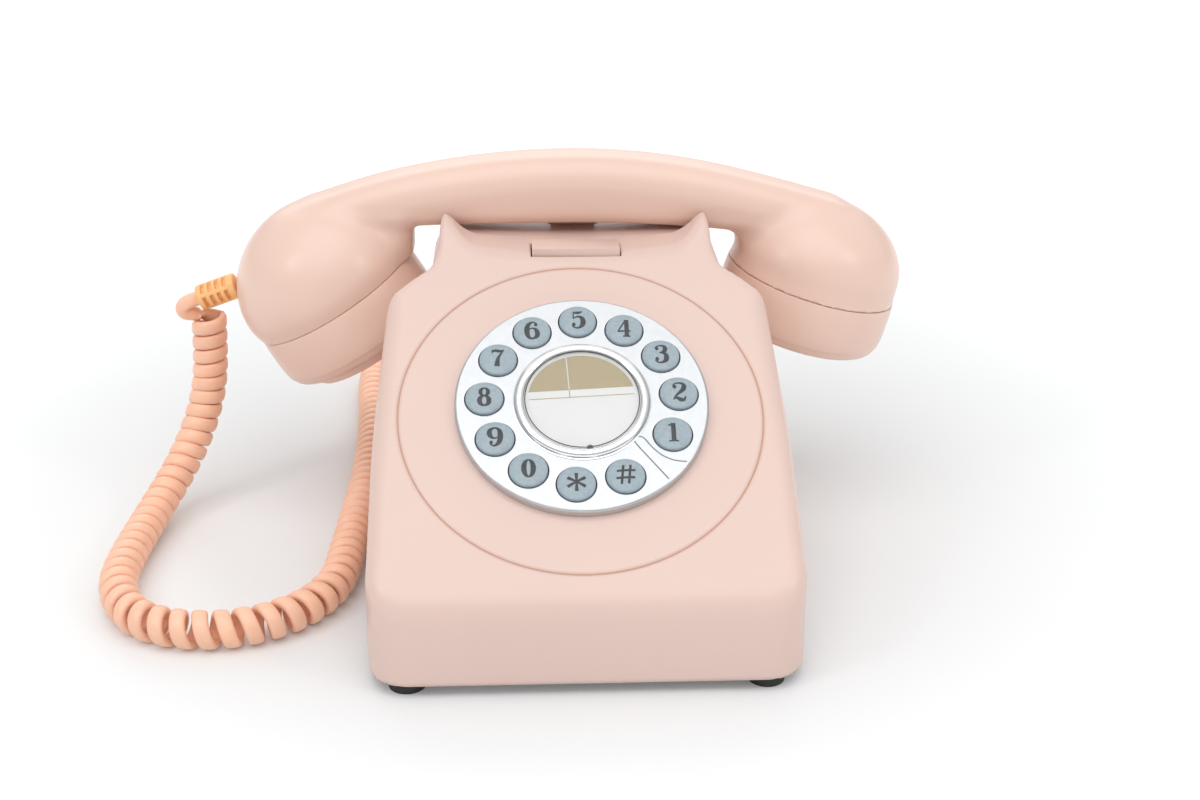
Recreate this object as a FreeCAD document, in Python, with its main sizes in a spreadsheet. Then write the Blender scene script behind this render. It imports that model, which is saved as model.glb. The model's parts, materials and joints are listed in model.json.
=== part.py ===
"""A push-button desk telephone styled like a 1960s dial set.

Frame: X to the right of somebody facing the dial, +Y to the back, +Z up, in millimetres.
The origin is on the table, under the middle of the telephone without its curly cord.
"""

import FreeCAD
import Part

import math
import os
import re

import Sketcher
from FreeCAD import Placement, Rotation, Vector

doc = FreeCAD.newDocument("telephone")

# ---------------------------------------------------------------- driving dimensions

DIMENSIONS = {
    # case
    "face_slope": 33.0,
    "dial_y": -31.3,
    "dial_height": 69.6,
    "wall": 2.5,
    "case_half": 67.5,
    "case_front": -92.5,
    "case_rear": 92.5,
    "case_bottom": 4.0,
    "front_edge_y": -90.7,
    "shoulder_y": 15.0,
    "wing_front_y": 26.0,
    "wing_front_height": 60.0,
    "wing_rear_y": 86.0,
    "wing_rear_height": 46.0,
    "edge_round": 6.0,
    "corner_round": 13.0,
    # neck and cradle
    "neck_half": 47.0,
    "neck_rear": 82.0,
    "horn_front": 36.4,
    "rest_front": 41.2,
    "rest_rear": 69.2,
    "rest_height": 104.4,
    "rear_horn_high": 111.0,
    "saddle_height": 103.6,
    "recess_half": 30.0,
    "recess_low": 66.0,
    "recess_high": 86.0,
    "recess_deep": 20.0,
    # dial
    "groove_radius": 58.8,
    "groove_round": 0.6,
    "dial_opening": 39.1,
    "plate_radius": 40.9,
    "plate_thick": 3.3,
    "plate_edge": 0.8,
    "ring_inner": 18.9,
    "ring_outer": 22.3,
    "ring_proud": 1.8,
    "label_radius": 18.6,
    "label_thick": 0.4,
    "lens_thick": 1.0,
    "boss_radius": 3.0,
    "boss_circle": 14.0,
    # keys
    "key_circle": 31.3,
    "key_step": 29.0,
    "key_radius": 6.1,
    "key_gap": 0.42,
    "key_proud": 0.9,
    "key_crown": 0.9,
    "key_flange": 6.9,
    "key_flange_thick": 1.5,
    "key_stem": 3.0,
    "key_stem_end": 3.4,
    "mat_radius": 38.2,
    "mat_depth": 7.0,
    "mat_thick": 1.0,
    "mat_dome": 1.2,
    "board_thick": 1.6,
    "main_board_height": 13.0,
    # fasteners
    "screw_radius": 1.3,
    "screw_head": 2.6,
    "screw_head_thick": 1.6,
    # base
    "base_thick": 2.5,
    "base_floor": 4.6,
    "foot_radius": 5.8,
    "foot_high": 4.5,
    "foot_side": 55.5,
    "foot_front": -84.0,
    "foot_rear": 80.0,
    "post_radius": 3.5,
    # hook switch
    "plunger_half": 15.1,
    "plunger_front": 22.4,
    "plunger_lip": 10.8,
    "plunger_rear": 66.0,
    "plunger_low": 90.2,
    "plunger_thick": 2.5,
    "plunger_lip_height": 105.4,
    "plunger_pad_half": 8.0,
    "plunger_pad": 8.0,
    "plunger_gap": 0.4,
    "hook_y": 46.0,
    "hook_shelf": 78.0,
    "hook_shelf_thick": 2.0,
    "spring_radius": 3.6,
    # handset
    "grip_deep": 26.0,
    "grip_y": 55.0,
    "grip_top": 131.0,
    "grip_bottom": 107.0,
    "grip_round": 5.5,
    "grip_top_half": 96.0,
    "grip_top_bend": 252.0,
    "grip_bottom_half": 90.0,
    "grip_bottom_bend": 520.0,
    "cup_radius": 31.0,
    "cup_high": 37.0,
    "cup_bore": 24.0,
    "cup_bore_deep": 17.0,
    "mouth_side": -87.7,
    "mouth_height": 77.8,
    "mouth_tilt": -30.4,
    "ear_side": 89.2,
    "ear_height": 82.3,
    "ear_tilt": 15.2,
    "cap_high": 20.3,
    "cap_foot": 30.2,
    "cap_wall": 2.2,
    "cap_step_radius": 22.0,
    "mouth_step": 3.2,
    "ear_step": 0.3,
    "cap_hole": 1.2,
    "cap_hole_circle": 10.0,
    "capsule_radius": 21.0,
    "capsule_thick": 11.0,
    # handset cord
    "relief_radius": 4.7,
    "relief_long": 14.0,
    "relief_slope": 20.0,
    "wire_radius": 2.6,
    "coil_radius": 6.0,
    "gland_side": -6.0,
    "gland_height": 12.5,
    # ringer and rear panel
    "gong_radius": 19.0,
    "gong_high": 13.0,
    "gong_wall": 1.4,
    "gong_side": 24.0,
    "ringer_y": 58.0,
    "ringer_floor": 10.0,
    "jack_side": 20.0,
    "switch_side": 42.0,
}

sheet = doc.addObject("Spreadsheet::Sheet", "dims")
for row, (alias, amount) in enumerate(DIMENSIONS.items(), start=1):
    sheet.set(f"A{row}", alias)
    sheet.set(f"B{row}", str(amount))
    sheet.setAlias(f"B{row}", alias)
doc.recompute()


def dim(alias):
    """A driving dimension, as the sheet holds it."""
    return float(sheet.get(alias))


def tied(terms):
    """An expression over the sheet: every word in it is an alias."""
    return re.sub(r"[a-z][a-z_]*", lambda word: "dims." + word.group(0), terms)


# ---------------------------------------------------------------- helpers

pieces = []
ABOUT_X = Vector(1, 0, 0)
ABOUT_Y = Vector(0, 1, 0)
ABOUT_Z = Vector(0, 0, 1)


def place(at=(0, 0, 0), turn=None):
    return Placement(Vector(*at), turn or Rotation())


def cylinder(radius, height, at=(0, 0, 0), turn=None):
    solid = doc.addObject("Part::Cylinder", "round_bar")
    solid.setExpression("Radius", tied(radius))
    solid.setExpression("Height", tied(height))
    solid.Placement = place(at, turn)
    return solid


def block(length, width, height, at=(0, 0, 0), turn=None):
    """A box that stands on the point at, centred over it."""
    solid = doc.addObject("Part::Box", "block")
    solid.setExpression("Length", tied(length))
    solid.setExpression("Width", tied(width))
    solid.setExpression("Height", tied(height))
    doc.recompute([solid])
    corner = Vector(-solid.Length.Value / 2, -solid.Width.Value / 2, 0)
    solid.Placement = place(at, turn) * Placement(corner, Rotation())
    return solid


def join(*solids):
    whole = doc.addObject("Part::MultiFuse", "join")
    whole.Shapes = list(solids)
    return whole


def cut(base, *tools):
    whole = doc.addObject("Part::Cut", "cut")
    whole.Base = base
    whole.Tool = tools[0] if len(tools) == 1 else join(*tools)
    return whole


def common(first, second):
    whole = doc.addObject("Part::Common", "common")
    whole.Base = first
    whole.Tool = second
    return whole


def group(*solids):
    whole = doc.addObject("Part::Compound", "group")
    whole.Links = list(solids)
    return whole


def piece(label, solid, placement=None):
    """Names a finished sub-part, and puts it in its place."""
    solid.Label = label
    if placement is not None:
        solid.Placement = placement * solid.Placement
    pieces.append(solid)
    return solid


def formed(label, shape):
    """A sub-part whose shape comes from Part's own functions, on the sheet's sizes."""
    solid = doc.addObject("Part::Feature", "formed")
    solid.Shape = shape
    return piece(label, solid)


def new_sketch(body, role):
    sketch = body.newObject("Sketcher::SketchObject", "sketch")
    plane = next(item for item in body.Origin.OriginFeatures if item.Role == role)
    sketch.AttachmentSupport = (plane, [""])
    sketch.MapMode = "FlatFace"
    return sketch


def tie(sketch, kind, *terms):
    """Adds a constraint whose value is an expression over the sheet."""
    *where, expression = terms
    index = sketch.addConstraint(Sketcher.Constraint(kind, *where, 1.0))
    sketch.setExpression(f"Constraints[{index}]", tied(expression))


def outline(sketch, corners):
    """A closed outline of straight edges, each corner held by two expressions over the sheet."""
    start = [Vector(math.cos(k), math.sin(k), 0) for k in range(len(corners))]
    for k in range(len(corners)):
        sketch.addGeometry(Part.LineSegment(start[k], start[(k + 1) % len(corners)]))
    for k in range(len(corners)):
        sketch.addConstraint(Sketcher.Constraint("Coincident", k, 2, (k + 1) % len(corners), 1))
    for k, (across, up) in enumerate(corners):
        tie(sketch, "DistanceX", -1, 1, k, 1, across)
        tie(sketch, "DistanceY", -1, 1, k, 1, up)
    return sketch


def circle(sketch, radius, across="0", up="0"):
    index = sketch.addGeometry(Part.Circle(Vector(1, 1, 0), Vector(0, 0, 1), 1.0))
    tie(sketch, "Radius", index, radius)
    tie(sketch, "DistanceX", -1, 1, index, 3, across)
    tie(sketch, "DistanceY", -1, 1, index, 3, up)
    return sketch


def revolution(body, corners):
    """A turned piece about the body's own Z axis, from an outline of radius and height."""
    sketch = outline(new_sketch(body, "XZ_Plane"), corners)
    turned = body.newObject("PartDesign::Revolution", "turned")
    turned.Profile = sketch
    turned.ReferenceAxis = (sketch, ["V_Axis"])
    turned.Angle = 360
    return turned


def pad(body, sketch, length):
    padded = body.newObject("PartDesign::Pad", "pad")
    padded.Profile = sketch
    padded.setExpression("Length", tied(length))
    return padded


def pocket(body, sketch):
    """A hole right through the body, both ways from its sketch."""
    hole = body.newObject("PartDesign::Pocket", "hole")
    hole.Profile = sketch
    hole.Type = "ThroughAll"
    hole.Midplane = True
    return hole


def polar(body, feature, count):
    pattern = body.newObject("PartDesign::PolarPattern", "pattern")
    pattern.Originals = [feature]
    axis = next(item for item in body.Origin.OriginFeatures if item.Role == "Z_Axis")
    pattern.Axis = (axis, [""])
    pattern.Angle = 360
    pattern.Occurrences = count
    body.Tip = pattern
    return pattern


def screw(at, turn=None, length="screw_radius * 6"):
    """A pan-head screw: the head's top is at the point, and the shank goes up from the head."""
    head = cylinder("screw_head", "screw_head_thick")
    shank = cylinder("screw_radius", length, (0, 0, dim("screw_head_thick")))
    whole = join(head, shank)
    whole.Placement = place(at, turn)
    return whole


# ---------------------------------------------------------------- frames of the tilted parts

SLOPE = math.radians(dim("face_slope"))
FACE = place((0, dim("dial_y"), dim("dial_height")), Rotation(ABOUT_X, dim("face_slope")))
MOUTH = place((dim("mouth_side"), dim("grip_y"), dim("mouth_height")), Rotation(ABOUT_Y, dim("mouth_tilt")))
EAR = place((dim("ear_side"), dim("grip_y"), dim("ear_height")), Rotation(ABOUT_Y, dim("ear_tilt")))


def on_face(up_slope):
    """The Y and Z of a point of the sloping face, by its distance up the slope from the dial's middle."""
    return (
        dim("dial_y") + up_slope * math.cos(SLOPE),
        dim("dial_height") + up_slope * math.sin(SLOPE),
    )


def face_height(y):
    return dim("dial_height") + (y - dim("dial_y")) * math.tan(SLOPE)


# ---------------------------------------------------------------- case


def rounded_wire(corners, radii):
    """A closed wire of straight runs, each corner rounded by an arc of its own radius."""
    count = len(corners)
    tangents = []
    for k, radius in enumerate(radii):
        corner = corners[k]
        back = (corners[k - 1] - corner).normalize()
        ahead = (corners[(k + 1) % count] - corner).normalize()
        half = back.getAngle(ahead) / 2
        reach = radius / math.tan(half)
        middle = corner + (back + ahead).normalize() * (radius / math.sin(half) - radius)
        tangents.append((corner + back * reach, middle, corner + ahead * reach))
    edges = []
    for k, (first, middle, last) in enumerate(tangents):
        edges.append(Part.Arc(first, middle, last).toShape())
        edges.append(Part.LineSegment(last, tangents[(k + 1) % count][0]).toShape())
    return Part.Wire(edges)


def slab(wire, inset, half):
    """The wire's outline, moved in by inset, extruded to both sides of the middle plane."""
    section = Part.Face(wire)
    if inset:
        section = section.makeOffset2D(-inset)
    section.translate(Vector(-half, 0, 0))
    return section.extrude(Vector(2 * half, 0, 0))


def side_point(y, height):
    return Vector(0, y, height)


def wide_part(inset):
    """The lower case: front wall, sloping face up to the shoulders, and the wings behind them."""
    corners = [
        side_point(dim("case_front"), dim("case_bottom") - inset),
        side_point(dim("front_edge_y"), face_height(dim("front_edge_y"))),
        side_point(dim("shoulder_y"), face_height(dim("shoulder_y"))),
        side_point(dim("wing_front_y"), dim("wing_front_height")),
        side_point(dim("wing_rear_y"), dim("wing_rear_height")),
        side_point(dim("case_rear"), dim("case_bottom") - inset),
    ]
    radii = [0.1, dim("edge_round"), 4.0, 8.0, dim("corner_round"), 0.1]
    half = dim("case_half") - inset
    solid = slab(rounded_wire(corners, radii), inset, half)
    plan = rounded_wire(
        [
            Vector(-dim("case_half"), dim("case_front") - 1, 0),
            Vector(dim("case_half"), dim("case_front") - 1, 0),
            Vector(dim("case_half"), dim("case_rear") + 1, 0),
            Vector(-dim("case_half"), dim("case_rear") + 1, 0),
        ],
        [dim("corner_round")] * 4,
    )
    section = Part.Face(plan)
    if inset:
        section = section.makeOffset2D(-inset)
    return solid.common(section.extrude(Vector(0, 0, 200)))


def neck_part(inset):
    """The neck that carries the cradle, with a horn at each corner."""
    tip = face_height(dim("horn_front"))
    corners = [
        side_point(-12, dim("case_bottom") + 20),
        side_point(-12, face_height(-12)),
        side_point(dim("horn_front"), tip),
        side_point(dim("rest_front"), tip),
        side_point(dim("rest_front"), dim("rest_height")),
        side_point(dim("rest_rear"), dim("rest_height")),
        side_point(dim("rest_rear") + 2, dim("rear_horn_high")),
        side_point(dim("neck_rear") - 4, dim("rear_horn_high")),
        side_point(dim("neck_rear"), dim("case_bottom") + 20),
    ]
    radii = [0.5, 0.5, 1.5, 1.2, 2.0, 2.0, 1.5, 3.0, 0.5]
    if inset:
        corners = [
            corners[0],
            corners[1],
            side_point(*on_face(54)),
            side_point(dim("neck_rear") - 3, dim("saddle_height")),
            corners[-1],
        ]
        radii = [0.5, 0.5, 3.0, 3.0, 0.5]
    return slab(rounded_wire(corners, radii), inset, dim("neck_half") - inset)


def saddle_hollow():
    """What the cradle's dip takes away between the horns, from front to back."""
    half = [(0, 0.0), (26, 1.1), (34.6, 2.4), (41, 6.0), (44.6, 10.2)]
    low = dim("saddle_height")
    right = [Vector(x, -20, low + rise) for x, rise in half]
    left = [Vector(-x, -20, low + rise) for x, rise in reversed(half[1:])]
    curve = Part.BSplineCurve()
    curve.interpolate(left + right)
    lid = Part.makePolygon([right[-1], right[-1] + Vector(0, 0, 30), left[0] + Vector(0, 0, 30), left[0]])
    wire = Part.Wire([curve.toShape()] + lid.Edges)
    return Part.Face(wire).extrude(Vector(0, 140, 0))


def carry_recess(grow):
    """The finger recess in the back of the neck, by which the telephone is carried."""
    width = 2 * (dim("recess_half") + grow)
    low = dim("recess_low") - grow
    front = dim("neck_rear") - dim("recess_deep") - grow
    high = dim("recess_high") - dim("recess_low") + 2 * grow
    return Part.makeBox(width, 60, high, Vector(-width / 2, front, low))


def case_shell():
    outer = wide_part(0).fuse(neck_part(0)).cut(saddle_hollow()).cut(carry_recess(0))
    inner = wide_part(dim("wall")).fuse(neck_part(dim("wall"))).cut(carry_recess(dim("wall")))
    below = Part.makeBox(400, 400, dim("case_bottom"), Vector(-200, -200, 0))
    shell = outer.cut(inner).cut(below)
    for x, y in case_post_spots():
        post = Part.makeCylinder(dim("post_radius"), 22, Vector(x, y, post_floor()))
        bore = Part.makeCylinder(dim("screw_radius") + 0.05, 9, Vector(x, y, post_floor()))
        web = Part.makeBox(14, 2, 22, Vector(x if x > 0 else x - 14, y - 1, post_floor()))
        shell = shell.fuse(post.fuse(web).common(outer)).cut(bore)
    opening = Part.makeCylinder(dim("dial_opening"), 30, Vector(0, 0, -15))
    groove = Part.makeTorus(dim("groove_radius"), dim("groove_round"), Vector(0, -2, 0.1))
    for tool in (opening, groove):
        tool.Placement = FACE.multiply(tool.Placement)
    shell = shell.cut(opening).cut(groove)
    for half, front, rear in plunger_fingers():
        gap = dim("plunger_gap")
        corner = Vector(-half - gap, front - gap, dim("saddle_height") - 14)
        shell = shell.cut(Part.makeBox(2 * (half + gap), rear - front + 2 * gap, 20, corner))
    rear = dim("case_rear") - 12
    gland_hole = Part.makeCylinder(
        dim("wire_radius") + 1.55, 20, Vector(dim("gland_side"), rear, dim("gland_height")), ABOUT_Y
    )
    jack_hole = Part.makeBox(15.4, 20, 13.4, Vector(dim("jack_side") - 7.7, rear, 9.3))
    switch_slot = Part.makeBox(13, 20, 4.6, Vector(dim("switch_side") - 6.5, rear, 13.7))
    return shell.cut(gland_hole).cut(jack_hole).cut(switch_slot)


def plunger_fingers():
    """Half width, front and rear of the two parts of the hook plunger that come up through the saddle."""
    lip_front, rear = dim("plunger_front"), dim("plunger_rear")
    return [
        (dim("plunger_half"), lip_front, lip_front + dim("plunger_lip")),
        (dim("plunger_pad_half"), rear - dim("plunger_pad"), rear),
    ]


def post_floor():
    return dim("base_floor") + dim("base_thick") + 0.1


def case_post_spots():
    side = dim("case_half") - 9
    return [(-side, -66), (side, -66), (-side, 62), (side, 62)]


formed("case_shell", case_shell())


# ---------------------------------------------------------------- base and feet


def base_plate():
    body = doc.addObject("PartDesign::Body", "base_plate_body")
    side = "case_half - wall - 0.4"
    sketch = outline(
        new_sketch(body, "XY_Plane"),
        [
            (f"0 - ({side})", "case_front + wall + 8.5"),
            ("0 - case_half + wall + 8.5", "case_front + wall + 0.5"),
            ("case_half - wall - 8.5", "case_front + wall + 0.5"),
            (side, "case_front + wall + 8.5"),
            (side, "case_rear - wall - 8.5"),
            ("case_half - wall - 8.5", "case_rear - wall - 1.2"),
            ("0 - case_half + wall + 8.5", "case_rear - wall - 1.2"),
            (f"0 - ({side})", "case_rear - wall - 8.5"),
        ],
    )
    pad(body, sketch, "base_thick")
    doc.recompute()
    holes = new_sketch(body, "XY_Plane")
    for x, y in case_post_spots():
        circle(holes, "screw_radius + 0.1", f"{x:g}", f"{y:g}")
    for y in ("foot_front", "foot_rear"):
        for side in ("foot_side", "0 - foot_side"):
            circle(holes, "screw_radius + 0.6", side, y)
    pocket(body, holes)
    doc.recompute()
    slots = new_sketch(body, "XY_Plane")
    for k in range(7):
        middle = f"ringer_y + {6 * (k - 3)}"
        circle(slots, "screw_radius + 0.2", "0", middle)
        circle(slots, "screw_radius + 0.2", "0 - gong_side + 14", middle)
        circle(slots, "screw_radius + 0.2", "gong_side - 14", middle)
    body.Tip = pocket(body, slots)
    return piece("base_plate", body, place((0, 0, dim("base_floor"))))


def corner_spots():
    side = dim("foot_side")
    return [(x, dim(y)) for x in (-side, side) for y in ("foot_front", "foot_rear")]


def rubber_feet():
    feet = []
    for x, y in corner_spots():
        pad_part = cylinder("foot_radius", "foot_high", (x, y, 0))
        stud = cylinder("screw_radius + 0.4", "base_thick + 2", (x, y, dim("foot_high")))
        feet.append(join(pad_part, stud))
    return piece("rubber_feet", group(*feet))


def case_screws():
    floor = dim("base_floor") - dim("screw_head_thick") - 0.05
    screws = [screw((x, y, floor), length="screw_radius * 8") for x, y in case_post_spots()]
    return piece("case_screws", group(*screws))


base_plate()
rubber_feet()
case_screws()

# ---------------------------------------------------------------- dial


KEY_NAMES = ["1", "2", "3", "4", "5", "6", "7", "8", "9", "0", "star", "hash"]


def key_spots():
    """Every key's name and its middle, in the frame of the face."""
    spots = []
    for k, name in enumerate(KEY_NAMES):
        angle = math.radians(90 + dim("key_step") * (k - 4) + 1)
        spots.append((name, dim("key_circle") * math.cos(angle), dim("key_circle") * math.sin(angle)))
    return spots


def boss_spots():
    ring = dim("boss_circle")
    return [(ring * math.cos(math.radians(a)), ring * math.sin(math.radians(a))) for a in (90, 210, 330)]


def dial_plate():
    body = doc.addObject("PartDesign::Body", "dial_plate_body")
    rim = revolution(
        body,
        [
            ("0", "0"),
            ("plate_radius", "0"),
            ("plate_radius", "plate_thick - plate_edge"),
            ("plate_radius - plate_edge", "plate_thick"),
            ("0", "plate_thick"),
        ],
    )
    doc.recompute()
    holes = new_sketch(body, "XY_Plane")
    for name, x, y in key_spots():
        circle(holes, "key_radius + key_gap", f"{x:g}", f"{y:g}")
    body.Tip = pocket(body, holes)
    low = 0.1 - dim("mat_depth")
    bosses = [cylinder("boss_radius", "mat_depth - 0.1", (x, y, low)) for x, y in boss_spots()]
    bores = [cylinder("screw_radius + 0.05", "mat_depth", (x, y, low)) for x, y in boss_spots()]
    return piece("dial_plate", cut(join(body, *bosses), *bores), FACE)


def turned(label, corners, placement):
    body = doc.addObject("PartDesign::Body", label + "_body")
    revolution(body, corners)
    return piece(label, body, placement)


def dial_ring():
    return turned(
        "dial_ring",
        [
            ("ring_inner", "plate_thick"),
            ("ring_outer", "plate_thick"),
            ("ring_outer", "plate_thick + ring_proud * 0.4"),
            ("ring_outer - 0.8", "plate_thick + ring_proud"),
            ("ring_inner + 1", "plate_thick + ring_proud"),
            ("ring_inner", "plate_thick + ring_proud * 0.5"),
        ],
        FACE,
    )


def label_and_lens():
    label = cylinder("label_radius", "label_thick", (0, 0, dim("plate_thick")))
    lens = cylinder("label_radius", "lens_thick", (0, 0, dim("plate_thick") + dim("label_thick")))
    piece("number_label", label, FACE)
    piece("label_lens", lens, FACE)


def key(name, x, y):
    """A key: a domed cap through the plate, a flange that keeps it in, and a stem over the rubber mat."""
    top = dim("plate_thick") + dim("key_proud") + dim("key_crown")
    cap = cylinder("key_radius", "plate_thick + key_proud + key_crown + 0.4", (0, 0, -0.4))
    crown = "(key_radius * key_radius + key_crown * key_crown) / (2 * key_crown)"
    ball = doc.addObject("Part::Sphere", "ball")
    ball.setExpression("Radius", tied(crown))
    doc.recompute([ball])
    ball.Placement = place((0, 0, top - ball.Radius.Value))
    flange = cylinder("key_flange", "key_flange_thick", (0, 0, -0.3 - dim("key_flange_thick")))
    stem = cylinder("key_stem", "key_stem_end - 0.4", (0, 0, -dim("key_stem_end")))
    return piece("key_" + name, join(common(cap, ball), flange, stem), FACE * place((x, y, 0)))


def key_mat():
    top = dim("mat_thick") - dim("mat_depth")
    sheet_part = cylinder("mat_radius", "mat_thick", (0, 0, top - dim("mat_thick")))
    domes = [cylinder("key_stem + 0.8", "mat_dome", (x, y, top)) for name, x, y in key_spots()]
    holes = [cylinder("boss_radius + 0.3", "mat_thick * 3", (x, y, top - 2)) for x, y in boss_spots()]
    return piece("key_mat", cut(join(sheet_part, *domes), *holes), FACE)


def keypad_board():
    floor = -dim("mat_depth") - dim("board_thick")
    board = cylinder("mat_radius", "board_thick", (0, 0, floor))
    holes = [cylinder("screw_radius + 0.1", "board_thick * 2", (x, y, floor - 1)) for x, y in boss_spots()]
    return piece("keypad_board", cut(board, *holes), FACE)


def keypad_screws():
    floor = -dim("mat_depth") - dim("board_thick") - dim("screw_head_thick") - 0.05
    screws = [screw((x, y, floor), length="screw_radius * 4") for x, y in boss_spots()]
    return piece("keypad_screws", group(*screws), FACE)


dial_plate()
dial_ring()
label_and_lens()
for key_name, key_x, key_y in key_spots():
    key(key_name, key_x, key_y)
key_mat()
keypad_board()
keypad_screws()

# ---------------------------------------------------------------- hook switch


def hook_plunger():
    """The bar that the handset holds down: a plate under the saddle, with a lip, a pad and a stem."""
    front = dim("plunger_front")
    low = dim("plunger_low")
    plate = block(
        "2 * plunger_half",
        "plunger_rear - plunger_front",
        "plunger_thick",
        (0, (front + dim("plunger_rear")) / 2, low),
    )
    lip = block(
        "2 * plunger_half",
        "plunger_lip",
        "plunger_lip_height - plunger_low",
        (0, front + dim("plunger_lip") / 2, low),
    )
    rest_pad = block(
        "2 * plunger_pad_half",
        "plunger_pad",
        "grip_bottom - 0.5 - plunger_low",
        (0, dim("plunger_rear") - dim("plunger_pad") / 2, low),
    )
    stem = cylinder("spring_radius - 1.4", "17", (0, dim("hook_y"), low - 17))
    return piece("hook_plunger", join(plate, lip, rest_pad, stem))


def hook_spring():
    """The plunger's return spring, as the tube that its turns fill."""
    floor = dim("hook_shelf") + dim("hook_shelf_thick") + 0.1
    height = dim("plunger_low") - 0.1 - floor
    outer = cylinder("spring_radius", f"{height:g}", (0, dim("hook_y"), floor))
    bore = cylinder("spring_radius - 1", f"{height + 2:g}", (0, dim("hook_y"), floor - 1))
    return piece("hook_spring", cut(outer, bore))


def hook_bracket():
    """A shelf across the neck, bored for the plunger's stem, with two legs that hold the switch."""
    y, low = dim("hook_y"), dim("hook_shelf")
    shelf = block("2 * neck_half - 2 * wall - 1", "22", "hook_shelf_thick", (0, y, low))
    legs = [block("2", "8", "15.5", (side * 11.1, y, low - 15)) for side in (-1, 1)]
    bore = cylinder("spring_radius - 1", "6", (0, y, low - 2))
    return piece("hook_bracket", cut(join(shelf, *legs), bore))


def hook_switch():
    y, top = dim("hook_y"), dim("hook_shelf") - 5.8
    case = block("20", "8", "9", (0, y, top - 9))
    lever = block("3", "3", "0.8", (0, y, top))
    return piece("hook_switch", join(case, lever))


hook_plunger()
hook_spring()
hook_bracket()
hook_switch()

# ---------------------------------------------------------------- inside the base


def main_board():
    low = dim("main_board_height")
    top = low + dim("board_thick")
    board = block("96", "70", "board_thick", (0, -42, low))
    relay = block("16", "11", "9", (-30, -40, top))
    chip = block("22", "8", "3.5", (2, -42, top))
    capacitor = cylinder("4", "11", (30, -36, top))
    bores = [cylinder("screw_radius + 0.1", "6", (x, y, low - 2)) for x, y in board_spots()]
    return piece("main_board", cut(join(board, relay, chip, capacitor), *bores))


def board_spots():
    return [(x, y) for x in (-43, 43) for y in (-72, -12)]


def board_pillars():
    floor = dim("base_floor") + dim("base_thick")
    pillars = []
    for x, y in board_spots():
        pillar = cylinder("post_radius", "main_board_height - base_floor - base_thick", (x, y, floor))
        pillars.append(cut(pillar, cylinder("screw_radius", "20", (x, y, floor + 1))))
    return piece("board_pillars", group(*pillars))


def board_screws():
    top = dim("main_board_height") + dim("board_thick") + dim("screw_head_thick") + 0.05
    down = Rotation(ABOUT_X, 180)
    screws = [screw((x, y, top), down, "screw_radius * 4") for x, y in board_spots()]
    return piece("board_screws", group(*screws))


def ballast_plate():
    return piece("ballast_plate", block("70", "22", "5", (0, 6, dim("base_floor") + dim("base_thick"))))


def gong(label, side):
    high, rim, shell = "gong_high", "gong_radius", "gong_wall"
    return turned(
        label,
        [
            ("screw_radius + 0.1", f"{high} - {shell}"),
            (f"{rim} * 0.55", f"{high} - {shell}"),
            (f"{rim} - {shell} - 2", f"{high} * 0.55"),
            (f"{rim} - {shell}", "0"),
            (rim, "0"),
            (f"{rim} - 1.6", f"{high} * 0.62"),
            (f"{rim} * 0.6", high),
            ("screw_radius + 0.1", high),
        ],
        place((side * dim("gong_side"), dim("ringer_y"), dim("ringer_floor") + 4)),
    )


def ringer_bracket():
    """The ringer's steel plate, with a post for each gong and a fork for the clapper's arm."""
    floor = dim("base_floor") + dim("base_thick")
    plate = block("62", "50", "1.5", (0, dim("ringer_y") - 16, floor))
    top = dim("ringer_floor") + 4 + dim("gong_high") - dim("gong_wall")
    posts = []
    for side in (-1, 1):
        x = side * dim("gong_side")
        post = cylinder("post_radius", f"{top - floor:g}", (x, dim("ringer_y"), floor))
        posts.append(cut(post, cylinder("screw_radius", "30", (x, dim("ringer_y"), floor + 2))))
    pivot = cylinder("1.5", "14.5", (0, dim("ringer_y") - 18, floor))
    return piece("ringer_bracket", join(plate, *posts, pivot))


def ringer_coil():
    """The ringer's electromagnet, lying across the bracket behind the clapper's pivot."""
    along = Rotation(ABOUT_Y, 90)
    y, middle = dim("ringer_y") - 30, dim("ringer_floor") + 9.2
    bobbin = cylinder("7", "26", (-13, y, middle), along)
    cheeks = [cylinder("8.5", "1.5", (x, y, middle), along) for x in (-14.5, 13)]
    return piece("ringer_coil", join(bobbin, *cheeks))


def gong_screws():
    top = dim("ringer_floor") + 4 + dim("gong_high") + dim("screw_head_thick") + 0.05
    down = Rotation(ABOUT_X, 180)
    screws = [
        screw((side * dim("gong_side"), dim("ringer_y"), top), down, "screw_radius * 5") for side in (-1, 1)
    ]
    return piece("gong_screws", group(*screws))


def clapper():
    """The hammer between the gongs: a hub on the pivot, an arm and a ball."""
    y = dim("ringer_y") - 18
    low = dim("ringer_floor") + 6.4
    hub = cut(cylinder("3.2", "4", (0, y, low)), cylinder("1.6", "8", (0, y, low - 2)))
    arm = block("1.4", "15", "1.4", (0, y + 10, low + 1))
    ball = doc.addObject("Part::Sphere", "ball")
    ball.setExpression("Radius", "2.4")
    ball.Placement = place((0, y + 18, low + 1.7))
    return piece("clapper", join(hub, arm, ball))


def line_jack():
    """The socket for the line cord, flush with the rear of the case."""
    x, y = dim("jack_side"), dim("case_rear") - 7.3
    shell = block("15", "13", "13", (x, y, 9.5))
    socket = block("9.8", "11", "6.8", (x, y + 2, 12.2))
    notch = block("4", "11", "2", (x, y + 2, 18.9))
    return piece("line_jack", cut(shell, socket, notch))


def ringer_switch():
    """The slider at the back that makes the bell loud, soft or silent."""
    y = dim("case_rear") - 3.4
    tongue = block("5", "9", "3.6", (dim("switch_side"), y, 14.2))
    heel = block("14", "3", "6.6", (dim("switch_side"), y - 4.6, 12.7))
    return piece("ringer_switch", join(tongue, heel))


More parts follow.
